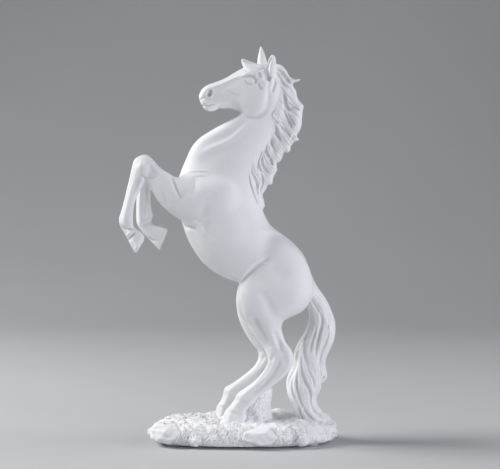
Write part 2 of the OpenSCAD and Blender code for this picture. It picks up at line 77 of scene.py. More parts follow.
# %% Curves and lofts
def spline(rows, steps):
    """Smooth curve through rows: each span blends the rows before, at and after it by Catmull and Rom's cubic."""
    rows = np.asarray(rows, float)
    before = np.vstack([rows[:1], rows[:-2]])
    after = np.vstack([rows[2:], rows[-1:]])
    here, there = rows[:-1], rows[1:]
    t = (np.arange(steps) / steps)[None, :, None]
    a, b, c, d = (r[:, None, :] for r in (before, here, there, after))
    curve = 0.5 * (2 * b + (c - a) * t + (2 * a - 5 * b + 4 * c - d) * t**2 + (3 * b - a - 3 * c + d) * t**3)
    return np.vstack([curve.reshape(-1, rows.shape[1]), rows[-1:]])


def placed(rows, wide=1.0, side=1.0):
    """Rows of [x, z, x, z, half width, offset] as drawn, moved into the ornament's frame."""
    rows = np.array(rows, float)
    rows[:, [0, 2]] += PROFILE_SHIFT
    rows[:, [1, 3]] += GROUND
    rows[:, 4] *= wide
    rows[:, 5] *= side
    return rows


def closed(rings, ends):
    """Points and faces of a skin over rings of points, shut by fans round its two end points."""
    m, n = rings.shape[:2]
    i, k = np.arange(m - 1)[:, None] * n, np.arange(n)
    k2 = (k + 1) % n
    quads = np.stack([i + k, i + k2, i + n + k2, i + n + k], -1).reshape(-1, 4)
    last = (m - 1) * n
    caps = np.vstack([np.stack([np.full(n, m * n), k2, k], -1),
                      np.stack([np.full(n, m * n + 1), last + k, last + k2], -1)])
    return np.vstack([rings.reshape(-1, 3), ends]), quads, caps


def loft(rows, sides=40, egg=0.0, square=2.0, planes=None, facet=0.0):
    """Closed skin over a ring of points round each row.

    A ring is a superellipse: its depth runs between the row's two points, its width is the row's half width, egg
    makes it fuller towards the first point, and square above 2 makes it boxier. By the share facet it turns into
    a polygon, whose radius in a direction is 1 over the direction's largest product with a plane's normal.
    """
    turn = np.linspace(0, 2 * np.pi, sides, endpoint=False)
    power = 2 / np.broadcast_to(square, len(rows))[:, None]
    c = np.sign(np.cos(turn)) * np.abs(np.cos(turn)) ** power
    s = np.sign(np.sin(turn)) * np.abs(np.sin(turn)) ** power
    if planes is not None:
        reach = 1 / np.max(np.array(planes) @ [np.cos(turn), np.abs(np.sin(turn))], 0)
        share = np.broadcast_to(facet, len(rows))[:, None]
        c = (1 - share) * c + share * reach * np.cos(turn)
        s = (1 - share) * s + share * reach * np.sin(turn)
    mid = np.stack([(rows[:, 0] + rows[:, 2]) / 2, rows[:, 5], (rows[:, 1] + rows[:, 3]) / 2], 1)
    dx = (rows[:, 0] - rows[:, 2]) / 2
    dz = (rows[:, 1] - rows[:, 3]) / 2
    x = mid[:, :1] + dx[:, None] * c
    y = mid[:, 1:2] + rows[:, 4:5] * s * (1 + egg * c)
    z = mid[:, 2:] + dz[:, None] * c
    return closed(np.stack([x, y, z], -1), mid[[0, -1]])


# %% Clay
class Clay:
    """A block of clay: at every point of a grid, the distance in millimetres to the surface, below 0 inside."""

    FAR = 9.0

    def __init__(self, low, high, voxel):
        self.voxel = voxel
        self.first = np.floor(np.array(low) / voxel).astype(int)
        self.count = np.ceil(np.array(high) / voxel).astype(int) - self.first + 1
        self.field = np.full(self.count, self.FAR, np.float32)

    def window(self, low, high):
        """Slices of the grid over a box, and the box's x, y and z as arrays that spread over it."""
        a = np.clip(np.floor(np.array(low) / self.voxel).astype(int) - self.first, 0, self.count - 1)
        b = np.clip(np.ceil(np.array(high) / self.voxel).astype(int) - self.first + 1, a + 1, self.count)
        cut = tuple(slice(int(p), int(q)) for p, q in zip(a, b))
        axes = [(np.arange(p, q) + f).astype(np.float32) * self.voxel for p, q, f in zip(a, b, self.first)]
        return cut, (axes[0][:, None, None], axes[1][None, :, None], axes[2][None, None, :])

    def axes(self):
        """The block's x, y and z as arrays that spread over it."""
        return self.window(self.first * self.voxel, (self.first + self.count) * self.voxel)[1]

    def join(self, cut, other, blend):
        """Presses another form on: the smaller distance, with the corner between the two filled over blend mm."""
        self.field[cut] = melt(self.field[cut], other, blend)

    def carve(self, cut, other, blend):
        """Takes another form away, with the rim rounded over blend mm."""
        self.field[cut] = -melt(-self.field[cut], other, blend)

    def loft(self, rows, blend, **shape):
        """Presses on a loft, and gives it back on a block of its own."""
        return self.press_on(loft(rows, **shape), blend)

    def press_on(self, form, blend):
        """Presses on a closed form of points, quads and triangles."""
        points, quads, caps = form
        grid = vdb.FloatGrid.createLevelSetFromPolygons(
            points.astype(np.float32), triangles=caps.astype(np.uint32), quads=quads.astype(np.uint32),
            transform=vdb.createLinearTransform(voxelSize=self.voxel), halfWidth=self.FAR / self.voxel)
        cut, axes = self.window(points.min(0) - self.FAR, points.max(0) + self.FAR)
        start = [int(s.start + f) for s, f in zip(cut, self.first)]
        other = np.empty([s.stop - s.start for s in cut], np.float32)
        grid.copyToArray(other, ijk=start)
        self.join(cut, other, blend)
        alone = self.like()
        alone.field[cut] = other
        return alone

    def like(self, field=None):
        """Another block on the same grid, empty or with the given field."""
        other = Clay.__new__(Clay)
        other.voxel, other.first, other.count = self.voxel, self.first, self.count
        other.field = np.full(self.count, self.FAR, np.float32) if field is None else field
        return other

    def skin(self):
        """The clay's surface as points in millimetres and quads that face outwards, without crumbs and bubbles."""
        grid = vdb.FloatGrid(self.FAR)
        grid.transform = vdb.createLinearTransform(voxelSize=self.voxel)
        grid.copyFromArray(self.field, ijk=[int(v) for v in self.first])
        points, quads = grid.convertToQuads(isovalue=0.0)
        quads = quads.astype(int)
        return points.astype(float), quads[main_sheet(quads, len(points))]


def main_sheet(quads, count):
    """Which faces belong to the largest unbroken sheet.

    Every point starts with its own number, and takes the least number of its faces' points until none changes.
    """
    label = np.arange(count)
    while True:
        lower = label.copy()
        np.minimum.at(lower, quads.ravel(), np.repeat(label[quads].min(1), quads.shape[1]))
        lower = lower[lower]
        if np.array_equal(lower, label):
            break
        label = lower
    sheet = label[quads[:, 0]]
    return sheet == np.bincount(sheet).argmax()


def melt(a, b, blend):
    """Smaller of two distances, with a fillet: below blend apart, a parabola of height blend / 4 is taken off."""
    if blend <= 0:
        return np.minimum(a, b)
    h = np.maximum(blend - np.abs(a - b), 0) / blend
    return np.minimum(a, b) - h * h * (blend / 4)


# %% Brushes
def line_distance(line, x, z):
    """Distance on the profile to a drawn line, the side of it (+1 or -1), and how far along it, from 0 to 1."""
    best = np.full(np.broadcast(x, z).shape, 1e9, np.float32)
    hand = np.ones_like(best)
    along = np.zeros_like(best)
    for k, ((ax, az), (bx, bz)) in enumerate(zip(line[:-1], line[1:])):
        ux, uz = bx - ax, bz - az
        t = np.clip(((x - ax) * ux + (z - az) * uz) / (ux * ux + uz * uz), 0, 1)
        d = np.hypot(x - ax - t * ux, z - az - t * uz)
        near = d < best
        hand = np.where(near, np.sign(ux * (z - az) - uz * (x - ax)), hand)
        along = np.where(near, (k + t) / (len(line) - 1), along)
        best = np.minimum(best, d)
    return best, hand, along


def ramp(v, start, end):
    """0 before start, 1 after end, and a smooth step between them."""
    t = np.clip((v - start) / (end - start), 0, 1)
    return t * t * (3 - 2 * t)


def press(clay, line, width, depth, side, inner, outer, lean=0.0, ends=0.15, middle=None):
    """Groove, or ridge where depth is below 0, drawn on the profile and pressed in from one side.

    The distance grows by depth times a bell curve of the distance to the line. Lean makes the bell wider on one
    hand of the line and narrower on the other. The press fades out between the offsets outer and inner, and
    to the share ends of its depth at the line's ends. With a middle it is pressed in from both sides of it.
    """
    line = spline(np.array(line, float) + [PROFILE_SHIFT, GROUND], 6)
    reach = width * (1 + abs(lean)) * 2.2
    low, high = line.min(0) - reach, line.max(0) + reach
    span = sorted([side * inner, side * 60]) if middle is None else [middle - 15, middle + 15]
    cut, (x, y, z) = clay.window([low[0], span[0], low[1]], [high[0], span[1], high[1]])
    d, hand, along = line_distance(line, x[:, 0, :], z[:, 0, :])
    bell = depth * np.exp(-(d / (width * (1 + lean * hand))) ** 2)
    bell = bell * (1 - (1 - ends) * np.abs(2 * along - 1) ** 2.5)
    out = side * y if middle is None else np.abs(y - middle)
    clay.field[cut] += (bell[:, None, :] * ramp(out, inner, outer)).astype(np.float32)


def swell(clay, centre, radii, tilt, blend, take=False):
    """Presses on a muscle, or with take a hollow: an ellipsoid turned by tilt degrees in the profile.

    With p over the radii as q, the distance is near |q| (|q| - 1) over the length of q over the radii.
    """
    cx, cy, cz = centre[0] + PROFILE_SHIFT, centre[1], centre[2] + GROUND
    reach = max(radii) + Clay.FAR
    cut, (x, y, z) = clay.window([cx - reach, cy - reach, cz - reach], [cx + reach, cy + reach, cz + reach])
    c, s = math.cos(math.radians(tilt)), math.sin(math.radians(tilt))
    a = ((x - cx) * c + (z - cz) * s) / radii[0]
    b = (y - cy) / radii[1]
    e = (-(x - cx) * s + (z - cz) * c) / radii[2]
    k0 = np.sqrt(a * a + b * b + e * e)
    k1 = np.sqrt((a / radii[0]) ** 2 + (b / radii[1]) ** 2 + (e / radii[2]) ** 2) + 1e-6
    other = np.clip(k0 * (k0 - 1) / k1, -Clay.FAR, Clay.FAR).astype(np.float32)
    (clay.carve if take else clay.join)(cut, other, blend)


def soften(field, passes):
    """Blurs a field: each pass averages every point with its neighbours along each axis by 1, 2, 1."""
    for _ in range(passes):
        for axis in range(3):
            f = np.moveaxis(field, axis, 0)
            mid = f.copy()
            f[1:-1] = 0.25 * mid[:-2] + 0.5 * mid[1:-1] + 0.25 * mid[2:]
    return field


# %% [markdown]
# ## The horse's body
#
# Trunk and neck are one loft, so that no seam bulges between them. Each row of a table is a cross-section: a point
# on the front or lower line, the point across from it on the back, the half width and the offset to the side. A
# subdivision cage could give the same outline, but muscles and creases would each need their own edge loops. In
# clay they are added one by one.

# %% Body tables
TRUNK = [
    [-37, 200, 25, 182, 0.72, 0], [-40, 188, 27, 172.5, 0.85, 0], [-39.5, 172.5, 30, 164, 0.94, 0],
    [-35.5, 156, 35, 156, 0.98, 0], [-30, 142, 43.5, 149.5, 1, 0], [-20, 127, 53, 142, 1, 0],
    [-6, 116.5, 61, 132.5, 0.98, 0], [11, 109.5, 65.5, 121.5, 0.96, 0], [24.5, 101.5, 69, 111.5, 0.92, 0],
    [39, 94, 70.5, 104, 0.78, 0], [50, 90, 67.5, 97.5, 0.48, 0],
]
NECK = [
    [24.5, 258, 38, 278, 10.5, 0], [16.5, 249.5, 43, 274, 10.5, 0], [9, 244, 45.5, 263, 10.8, 0],
    [-0.5, 239, 45, 250, 11.2, 0], [-12.5, 232.5, 41, 236, 11.8, 0], [-23, 225.5, 35, 222, 12.6, 0],
    [-29.5, 217.5, 28.5, 208.5, 13.8, 0], [-33, 209.5, 24.5, 193.5, 15.4, 0],
]
HEAD = [
    [-23, 259.5, -21.5, 254, 0.4, 0], [-21, 264, -19, 250, 0.6, 0], [-17.5, 267.5, -15, 248, 0.67, 0],
    [-13, 269.5, -10.5, 248, 0.67, 0], [-7, 271.5, -4.5, 249.5, 0.7, 0], [-0.5, 274.4, 3, 249.5, 0.78, 0],
    [5.5, 278, 10, 247, 0.87, 0], [11.5, 281.2, 17, 244, 0.94, 0], [18, 283.7, 25, 246, 0.97, 0],
    [25, 285, 31.5, 252.5, 0.95, 0], [31.5, 284, 36, 260.5, 0.8, 0], [37, 280.5, 38.5, 269.5, 0.48, 0],
]
NEAR_FORE = [
    [-23, 191, -9, 161, 10, 0.81], [-32.5, 193.5, -18.5, 156, 11, 1], [-40.5, 195, -28.5, 157.5, 10.5, 1.06],
    [-47, 198.5, -39, 162.5, 9.6, 1.06], [-53.5, 203, -48, 169, 8.5, 1.06], [-58, 208, -55.5, 177, 7.4, 1.03],
    [-61.5, 211.5, -60.5, 186, 6.8, 1], [-65.5, 212.5, -63, 191.5, 7, 1], [-70, 211, -65, 191.5, 7, 1],
    [-73.5, 208, -65.5, 190, 6.4, 1], [-75.5, 201, -67, 187.5, 5.4, 1], [-77, 194, -68.5, 184.5, 4.8, 1],
    [-79, 186, -70.8, 181, 4.6, 1], [-81, 177.5, -73, 174.5, 4.6, 1], [-83, 170, -74.2, 167, 4.9, 1],
    [-85.3, 162.5, -74.4, 160.5, 5.6, 1], [-85, 158, -73.9, 156.5, 5.6, 1], [-83, 153.5, -71.8, 154, 5, 1],
    [-79.3, 147.5, -68, 151.5, 5.6, 1], [-76.3, 141.2, -65.6, 148.3, 6.4, 1], [-72.2, 134.2, -65.8, 144.5, 6.5, 1],
]
OFF_FORE = [
    [-22.5, 189.5, -9.5, 160.5, 10, 0.81], [-32.5, 192, -19.5, 155.5, 11, 1], [-40.5, 192.5, -29, 158, 10.5, 1.06],
    [-47, 195, -39, 163.5, 9.5, 1.06], [-52.5, 198.5, -47, 170, 8.4, 1.06], [-57.5, 202, -53, 177.5, 7.2, 1.06],
    [-60.5, 204, -57.5, 183, 6.8, 1.06], [-64.5, 204.5, -59, 186, 7, 1.03], [-68.5, 202, -60, 186.5, 6.8, 1],
    [-70.5, 197, -61, 186, 6.2, 1], [-72.7, 190.5, -62.3, 184, 5.4, 1], [-73.6, 183, -62.5, 180.5, 4.9, 1],
    [-74.1, 175, -62.4, 174, 4.8, 1], [-74.2, 168, -61.6, 167.5, 5, 1], [-74.2, 162, -60.5, 164.3, 5.6, 1],
    [-73.4, 157, -61.7, 159.5, 5.5, 1], [-70, 151.5, -60.4, 157.3, 5.1, 1], [-65.3, 146.3, -55, 155.5, 5.8, 1],
    [-60.5, 141.3, -50.2, 154, 6.5, 1], [-55.2, 135.6, -48.6, 152.2, 6.6, 1],
]
NEAR_HAUNCH = [
    [20, 124, 58, 121, 0.78, 0.5], [13.5, 116, 63, 105.5, 1.06, 0.5], [10.5, 107, 60.5, 94, 1.11, 2],
    [9.5, 98, 52.5, 87, 1.1, 4], [11, 88.5, 45, 81.5, 1.06, 6.5],
]
OFF_HAUNCH = [
    [20, 123.5, 58, 120.5, 0.78, 0.5], [13, 114, 63, 104, 1.06, 0.5], [9.5, 104.5, 60.5, 92, 1.11, 2],
    [8, 94.5, 52, 84, 1.1, 4], [8, 84, 43, 79, 1.06, 6.5],
]
NEAR_SHANK = [
    [14, 80, 43, 76, 9.2, 1], [19, 72, 44, 70.5, 8, 1], [25, 65, 46.5, 64, 7, 1], [29.5, 58.5, 50.5, 58, 6.6, 1],
    [32, 52, 52.5, 52.5, 6.8, 1], [31.5, 46.5, 51.5, 46, 6.4, 1], [28, 40.5, 46.5, 38.5, 5.8, 1],
    [21.5, 33.5, 37.5, 31, 5.2, 1], [14, 28, 29, 24.5, 5.1, 1], [8, 23.5, 23, 19, 5.8, 1],
    [5.5, 18.5, 19.5, 15, 5.6, 1], [2, 14, 15.5, 11, 5.2, 1], [-1.5, 10, 15, 7, 6.2, 1],
    [-3.5, 5, 15.5, 2.5, 7.2, 1], [-6, 0, 16.5, 0, 7.6, 1], [-6, -2, 16.5, -2, 7.6, 1],
]
OFF_SHANK = [
    [10.5, 75.5, 39.5, 73.5, 9.2, 1], [14.5, 67.5, 39, 67, 8, 1], [19.5, 60, 40.5, 60.5, 7, 1],
    [24, 54.5, 44.5, 54, 6.6, 1], [25, 49.5, 46, 48, 6.8, 1], [23, 43.5, 43.5, 41, 6.4, 1],
    [18, 38, 36.5, 33.5, 5.8, 1], [11, 32.5, 27.5, 27, 5.2, 1], [4, 27.5, 19, 22, 5.1, 1],
    [-2.5, 23.5, 13, 17.5, 5.8, 1], [-4, 17.5, 10.5, 13.5, 5.6, 1], [-6.5, 12, 7.5, 9.5, 5.2, 1],
    [-9, 8.5, 8.5, 6, 6.2, 1], [-10, 4, 9, 2, 7, 1], [-12.5, 0, 10, 0, 7.6, 1], [-12.5, -2, 10, -2, 7.6, 1],
]
HALF_CHEEK, FORE_OFFSET, HIND_OFFSET = 12.5, 16.0, 18.0
print("rows of a hind leg:", len(NEAR_HAUNCH) + len(NEAR_SHANK), "and of a foreleg:", len(NEAR_FORE))


def haunch(rows, side):
    """Haunch rows give how far out they reach and how far in; a loft needs their half width and middle."""
    rows = placed(rows)
    out, inside = rows[:, 4] * RIBS, rows[:, 5].copy()
    rows[:, 4], rows[:, 5] = (out - inside) / 2, side * (out + inside) / 2
    return rows


# %% Rough forms pressed together
started = time.time()
body = Clay([-95, -40, GROUND - 8], [80, 40, GROUND + 300], VOXEL)
trunk_rows = np.vstack([placed(NECK), placed(TRUNK, RIBS)])
trunk = body.loft(spline(trunk_rows, 8), 0, sides=72, egg=0.1, square=2.15)
HEAD_PLANES = [[1, 0], [0.853, 0.419], [0.149, 0.97], [0, 1], [-0.714, 0.571], [-1, 0]]  # the nose bone first
rings = spline(placed(HEAD, HALF_CHEEK), 8)
row = np.arange(len(rings)) / 8
bony = 0.75 * ramp(row, 0.5, 3) * (1 - ramp(row, 7, 10))
body.loft(rings, 4, sides=96, egg=0.05, square=2.3, planes=HEAD_PLANES, facet=bony)
legs = {}
BROAD_SHIN = [[1, 0], [0.757, 0.811], [0, 1], [-0.69, 0.517], [-1, 0]]  # planes of a shin, front first
NARROW_SHIN = [[1, 0], [0.788, 0.606], [0, 1], [-0.69, 0.517], [-1, 0]]
for name, rows, round_rows, shin in (
    ("near_foreleg", placed(NEAR_FORE, 1, -FORE_OFFSET), 6.5, BROAD_SHIN),
    ("off_foreleg", placed(OFF_FORE, 1, FORE_OFFSET), 6.5, NARROW_SHIN),
    ("near_hindleg", np.vstack([haunch(NEAR_HAUNCH, -1), placed(NEAR_SHANK, 1, -HIND_OFFSET)]), 8, NARROW_SHIN),
    ("off_hindleg", np.vstack([haunch(OFF_HAUNCH, 1), placed(OFF_SHANK, 1, HIND_OFFSET)]), 8, NARROW_SHIN),
):
    rings = spline(rows, 8)
    bony = 0.9 * ramp(np.arange(len(rings)) / 8, round_rows - 1.5, round_rows + 1)
    legs[name] = body.loft(rings, 7, sides=96, square=2.15, planes=shin, facet=bony)
print("rough body", body.field.shape, round(time.time() - started, 1), "s")

# %% [markdown]
# ## Muscles and creases
#
# The real casting shows soft muscles: the jugular groove down the neck, wrinkles where the shoulder folds, the
# hollow of the flank, the fold of skin before the stifle and the tendons of the hind legs. They could be painted
# by hand in sculpt mode, but then nothing could be changed later. Here each one is a line drawn on the profile
# with a width and a depth, or an ellipsoid.

# %% Muscles
MUSCLES = [  # centre as drawn, radii, tilt, blend
    ([-31, 8, 178], [9, 9, 15], 8, 8),
    ([-12, 18, 177], [17, 8.2, 13], 20, 9),
    ([-4, 19.5, 150], [15, 7.5, 18], 35, 9),
    ([44, 15, 121], [18, 11.5, 25], 40, 9),
    ([21, 20.5, 99], [12, 9, 15], -12, 8),
    ([49, 15.5, 101], [13, 11, 14], 30, 8),
]
for centre, radii, tilt, blend in MUSCLES:
    for side in (-1, 1):
        swell(body, [centre[0], side * centre[1], centre[2]], radii, tilt, blend)
print(len(MUSCLES), "muscles on each side")

# %% Grooves of the trunk
TORSO_LINES = [  # line as drawn, width, depth, lean
    ([[17, 242], [10, 236.5], [2.5, 230], [-6, 225.5], [-14, 222], [-22, 218]], 3.8, 1.4, 0),
    ([[20, 240], [12.5, 233.5], [5.5, 227.5], [-2, 222.5], [-11, 219], [-20, 214.5]], 2.2, -1.0, 0.3),
    ([[10, 225], [-2, 217], [-13.5, 211], [-22, 205]], 6, 0.9, 0),
    ([[33.3, 263], [33, 256], [31, 250], [27.4, 245.2], [22.7, 242.4], [18, 242.2], [14, 243.8], [10.5, 246.6]], 1.7,
     1.7, 0),
    ([[-44, 195.5], [-41.5, 190], [-39.3, 184.5], [-35.5, 176.5]], 1.2, 2.0, 0),
    ([[-36.5, 177.5], [-34, 181.5], [-30, 188]], 2.6, 0.8, 0),
    ([[-26, 194], [-26, 187], [-28.5, 180.5]], 2.0, 0.9, 0.3),
    ([[-10, 184], [-16, 173], [-19.5, 162]], 4.5, 0.9, 0),
    ([[-42, 160], [-34, 156.2], [-28, 155.2], [-24, 153.5]], 1.9, 2.4, 0),
    ([[-27, 159.5], [-21.5, 156.5], [-18, 148]], 1.6, -1.4, 0),
    ([[-17, 160], [-14, 154], [-10, 145]], 3.6, 0.9, 0),
    ([[10, 109.5], [15.5, 117.5], [22, 124.5], [32, 131.5]], 1.9, 1.7, -0.3),
    ([[-2, 121], [4.5, 118], [11, 114]], 1.4, -0.7, 0),
    ([[33, 152], [32, 139.5], [29, 128]], 8.0, 2.0, 0),
    ([[33, 125], [40, 121], [46, 114]], 6.5, 1.1, 0),
]
for line, width, depth, lean in TORSO_LINES:
    for side in (-1, 1):
        press(body, line, width, depth, side, 5, 12, lean)
print(len(TORSO_LINES), "lines on each side of the trunk")

# %% Grooves of the thighs
HIND_LINES = [
    ([[26, 105], [31.5, 98], [38, 84]], 3.6, 1.2, 0),
    ([[19.5, 86], [24.5, 78], [29.5, 70], [35, 60]], 3.8, 3.6, -0.3),
    ([[10.5, 97], [11.3, 89.3], [14.1, 82.3], [18, 74.4], [23.5, 66.5], [28.2, 61], [31.4, 56]], 1.2, 1.7, 0),
    ([[26, 92], [32, 82.5], [37, 72]], 4.5, -0.7, 0),
    ([[37, 74], [40.5, 65], [43, 55.5]], 2.0, 1.6, 0),
]
near_heights = [0, 10, 24, 33, 46, 58, 72, 85, 100]
off_x = [-6.5, -7.5, -10.5, -10.5, -8, -5.5, -4.5, -3, -0.5]
off_z = [0, -1.5, 0, -1, -3.5, -4, -4.5, -4.5, -1.5]


def on_off_leg(line):
    """A line drawn on the near hind leg, moved to the off one, which stands further forward and bends more."""
    line = np.array(line, float)
    return line + np.stack([np.interp(line[:, 1], near_heights, v) for v in (off_x, off_z)], 1)


for line, width, depth, lean in HIND_LINES:
    press(body, line, width, depth, -1, 17, 21, lean)
    press(body, on_off_leg(line), width, depth, 1, 17, 21, lean)
soften(body.field, 2)
print(len(HIND_LINES), "lines on each thigh")

# %% Folds of skin
SKIN_FOLDS = [
    ([[-33, 199.2], [-24, 200.2], [-14, 200]], 0.75, -0.5), ([[-28, 195.6], [-22, 196.5], [-16, 196.6]], 0.7, -0.4),
]
for line, width, depth in SKIN_FOLDS:
    for side in (-1, 1):
        press(body, line, width, depth, side, 5, 12)
print("muscled body", round(time.time() - started, 1), "s")

# %% Bones, tendons and hooves
NEAR_FORE_LINES = [
    ([[-67.5, 209], [-68.5, 203.5], [-69.5, 198], [-74, 188.5], [-78, 173], [-80.5, 160]], 0.9, -0.5, 0.3),
    ([[-69, 194], [-71.5, 186], [-75, 173], [-77, 161]], 2.0, 0.5, 0),
    ([[-60.5, 205], [-58, 200.5], [-54.5, 195.5]], 2.8, 1.0, 0),
    ([[-64.5, 194.5], [-59, 194], [-54.5, 195.5]], 1.0, 0.6, 0),
    ([[-64.5, 206.5], [-63.5, 200.5], [-65.5, 195.5]], 2.2, -0.7, 0),
    ([[-68, 197], [-66, 195], [-63.5, 193]], 1.5, 1.0, 0),
    ([[-50.5, 183], [-48.5, 178.5], [-46.5, 172]], 2.0, 0.7, 0),
    ([[-58, 203.5], [-52.5, 198.5], [-46.5, 194]], 2.0, -0.5, 0),
    ([[-72.5, 151.5], [-75.5, 148], [-79, 143]], 0.9, 1.6, 0),
    ([[-73.5, 152], [-77, 150.5], [-80, 148]], 1.2, -0.7, 0),
    ([[-68.5, 148.5], [-70.5, 143], [-73, 137]], 0.7, -0.5, 0),
    ([[-67, 146.5], [-69.3, 140]], 1.8, 1.0, 0),
    ([[-83.5, 157], [-79, 154], [-73.5, 154.5]], 1.2, 0.8, 0),
]
OFF_FORE_LINES = [
    ([[-69, 192.5], [-71, 179], [-71.8, 172.5], [-72, 164.5], [-71, 157]], 0.9, -0.5, 0.3),
    ([[-66.5, 191], [-65, 183], [-64, 174]], 2.8, 2.2, 0),
    ([[-66, 175], [-67, 169], [-66, 162]], 2.0, 0.5, 0),
    ([[-64.5, 147], [-60.5, 144.5], [-56.5, 143.7]], 0.9, 1.3, 0),
    ([[-70, 155.5], [-66, 157], [-62, 160]], 1.5, 0.8, 0),
    ([[-50, 152], [-52, 146], [-55, 138.5]], 0.8, -0.4, 0),
]
SHANK_LINES = [
    ([[34.5, 57], [31.5, 45.5], [21.5, 32], [11, 23]], 1.2, -0.6, 0.3),
    ([[42.5, 54], [38.5, 43.5], [29, 31.5], [18, 22.5]], 1.8, 0.9, 0),
    ([[43, 66], [48, 61], [51.5, 56.5]], 1.6, -0.7, 0),
    ([[38.5, 60], [37, 54.5], [33.5, 50]], 2.0, 0.8, 0),
    ([[45.5, 58], [45, 53], [47, 49]], 1.8, 0.7, 0),
    ([[5.5, 21], [10, 19], [16, 17.5]], 1.8, 0.4, 0),
    ([[0, 10.4], [5, 9.2], [12, 8.2]], 1.3, 0.5, 0),
    ([[0.5, 12.8], [5, 11.9], [9, 11.4]], 1.4, -0.6, 0),
]
for lines, middle in ((NEAR_FORE_LINES, -FORE_OFFSET), (OFF_FORE_LINES, FORE_OFFSET), (SHANK_LINES, -HIND_OFFSET),
                      ([(on_off_leg(line), *rest) for line, *rest in SHANK_LINES], HIND_OFFSET)):
    for line, width, depth, lean in lines:
        press(body, line, width, depth, 1, 1.0, 3.2, lean, middle=middle)
print("legs carved", round(time.time() - started, 1), "s")

# %% [markdown]
# ## The head
#
# The face has the finest modelling: eyes under a brow, lids, a teardrop nostril with its rim, lips, the round cheek
# and the crest of bone before it. The body's grid is too coarse for them, so the block round the head is cut out
# and sampled more finely, and worked with smaller tools. A denser mesh with displaced vertices would do for the
# soft lines, but not for a nostril, which turns inwards.

# %% Finer blocks
def resample(field, first, voxel, fine):
    """The part of a field that a finer block covers, read between its points by straight lines along each axis."""
    out = field
    for axis in range(3):
        where = (np.arange(fine.count[axis]) + fine.first[axis]) * fine.voxel / voxel - first[axis]
        low = np.clip(np.floor(where).astype(int), 0, field.shape[axis] - 2)
        share = np.clip(where - low, 0, 1).astype(np.float32)
        shape = [1, 1, 1]
        shape[axis] = -1
        share = share.reshape(shape)
        out = np.take(out, low, axis) * (1 - share) + np.take(out, low + 1, axis) * share
    return out


def fine_block(low, high, voxel):
    """Finer clay over a box given as drawn, with the body already in it."""
    shift = np.array([PROFILE_SHIFT, 0, GROUND])
    fine = Clay(np.array(low) + shift, np.array(high) + shift, voxel)
    fine.field = resample(body.field, body.first, body.voxel, fine).astype(np.float32)
    return fine


# %% Rods
def strand(clay, path, radii, blend):
    """Tapering rod along a path: the distance to the nearest of its straight pieces, less the radius there."""
    path = np.asarray(path, float) + [PROFILE_SHIFT, 0, GROUND]
    radii = np.asarray(radii, float)
    margin = 1.2 + blend
    cut, axes = clay.window(path.min(0) - radii.max() - margin, path.max(0) + radii.max() + margin)
    best = np.full([s.stop - s.start for s in cut], Clay.FAR, np.float32)
    start = np.array([s.start for s in cut]) + clay.first
    for a, b, ra, rb in zip(path[:-1], path[1:], radii[:-1], radii[1:]):
        r = max(ra, rb) + margin
        lo = np.clip(np.floor((np.minimum(a, b) - r) / clay.voxel).astype(int) - start, 0, best.shape)
        hi = np.clip(np.ceil((np.maximum(a, b) + r) / clay.voxel).astype(int) + 1 - start, lo + 1, best.shape)
        part = tuple(slice(p, q) for p, q in zip(lo, hi))
        x, y, z = (np.take(axes[k], range(lo[k], hi[k]), k) for k in range(3))
        u = b - a
        t = np.clip(((x - a[0]) * u[0] + (y - a[1]) * u[1] + (z - a[2]) * u[2]) / max(u @ u, 1e-9), 0, 1)
        d = np.sqrt((x - a[0] - t * u[0]) ** 2 + (y - a[1] - t * u[1]) ** 2 + (z - a[2] - t * u[2]) ** 2)
        best[part] = np.minimum(best[part], d - ra - t * (rb - ra))
    clay.join(cut, best, blend)


def tapered(count, thick, root=0.6, tip=0.25):
    """Radii along a rod: thick in the middle, with the share root at the start and tip at the end."""
    t = np.linspace(0, 1, count)
    return thick * (tip + (1 - tip) * np.sqrt(np.clip(1 - t**2.2, 0, 1))) * (root + (1 - root) * ramp(t, 0, 0.3))


# %% Block for the head
HEAD_VOXEL = 0.3
face = fine_block([-27, -17, 236], [50, 17, 303], HEAD_VOXEL)
soften(face.field, 2)
print("head block", face.field.shape)

# %% Face
FACE_LINES = [  # drawn line, width and depth of a groove, or of a ridge below 0
    ([[33.5, 275], [32.7, 266], [32.2, 258], [30, 251.5]], 1.7, 0.75),
    ([[-13, 266.5], [-4.3, 269.3], [3.7, 272.8], [10, 275]], 0.9, -0.5),
    ([[-9, 262], [-2, 266], [5, 269.5], [10, 272]], 2.6, 0.5),
    ([[-1.8, 264], [2.1, 264.7], [4.5, 262.7], [8.5, 261.1], [11, 262]], 1.3, -0.35),
    ([[-3, 262.2], [2, 262.8], [5.5, 260.6], [10.5, 259.4]], 1.3, 0.4),
    ([[12, 275.4], [16.4, 277], [20.8, 277.8]], 1.3, -1.5),
    ([[12.6, 273.6], [15.6, 274.5], [19.4, 274.3], [21.8, 272.2], [22.5, 269.6]], 0.95, 1.3),
    ([[14.2, 271.8], [15, 269.6], [17.4, 268], [20, 268]], 0.75, 0.75),
    ([[23.2, 269.4], [25.1, 266.8], [27.3, 264.2]], 1.4, 1.3),
    ([[24, 280.5], [25, 277], [26, 273]], 1.7, 1.3),
    ([[29, 280.5], [31, 275.8], [32.6, 271.5]], 2.2, 3.4),
    ([[39, 273.5], [37, 267], [35.4, 261.5]], 1.2, 1.5),
    ([[24.5, 271.4], [28, 271.2], [31, 269]], 1.4, -0.5),
    ([[-2, 254.8], [6, 253.8], [11, 251]], 2.4, 0.5),
    ([[-20, 254.2], [-16, 254], [-9.8, 254.4]], 1.0, -0.5),
    ([[-20.8, 255.5], [-19.9, 257.2], [-17.8, 258], [-15, 257], [-12.5, 256.4]], 0.8, 0.8),
    ([[-19, 259.5], [-18.4, 262.5], [-15, 265.2], [-12, 263.6], [-10.9, 260.3], [-13.2, 257.6]], 1.2, -0.45),
]
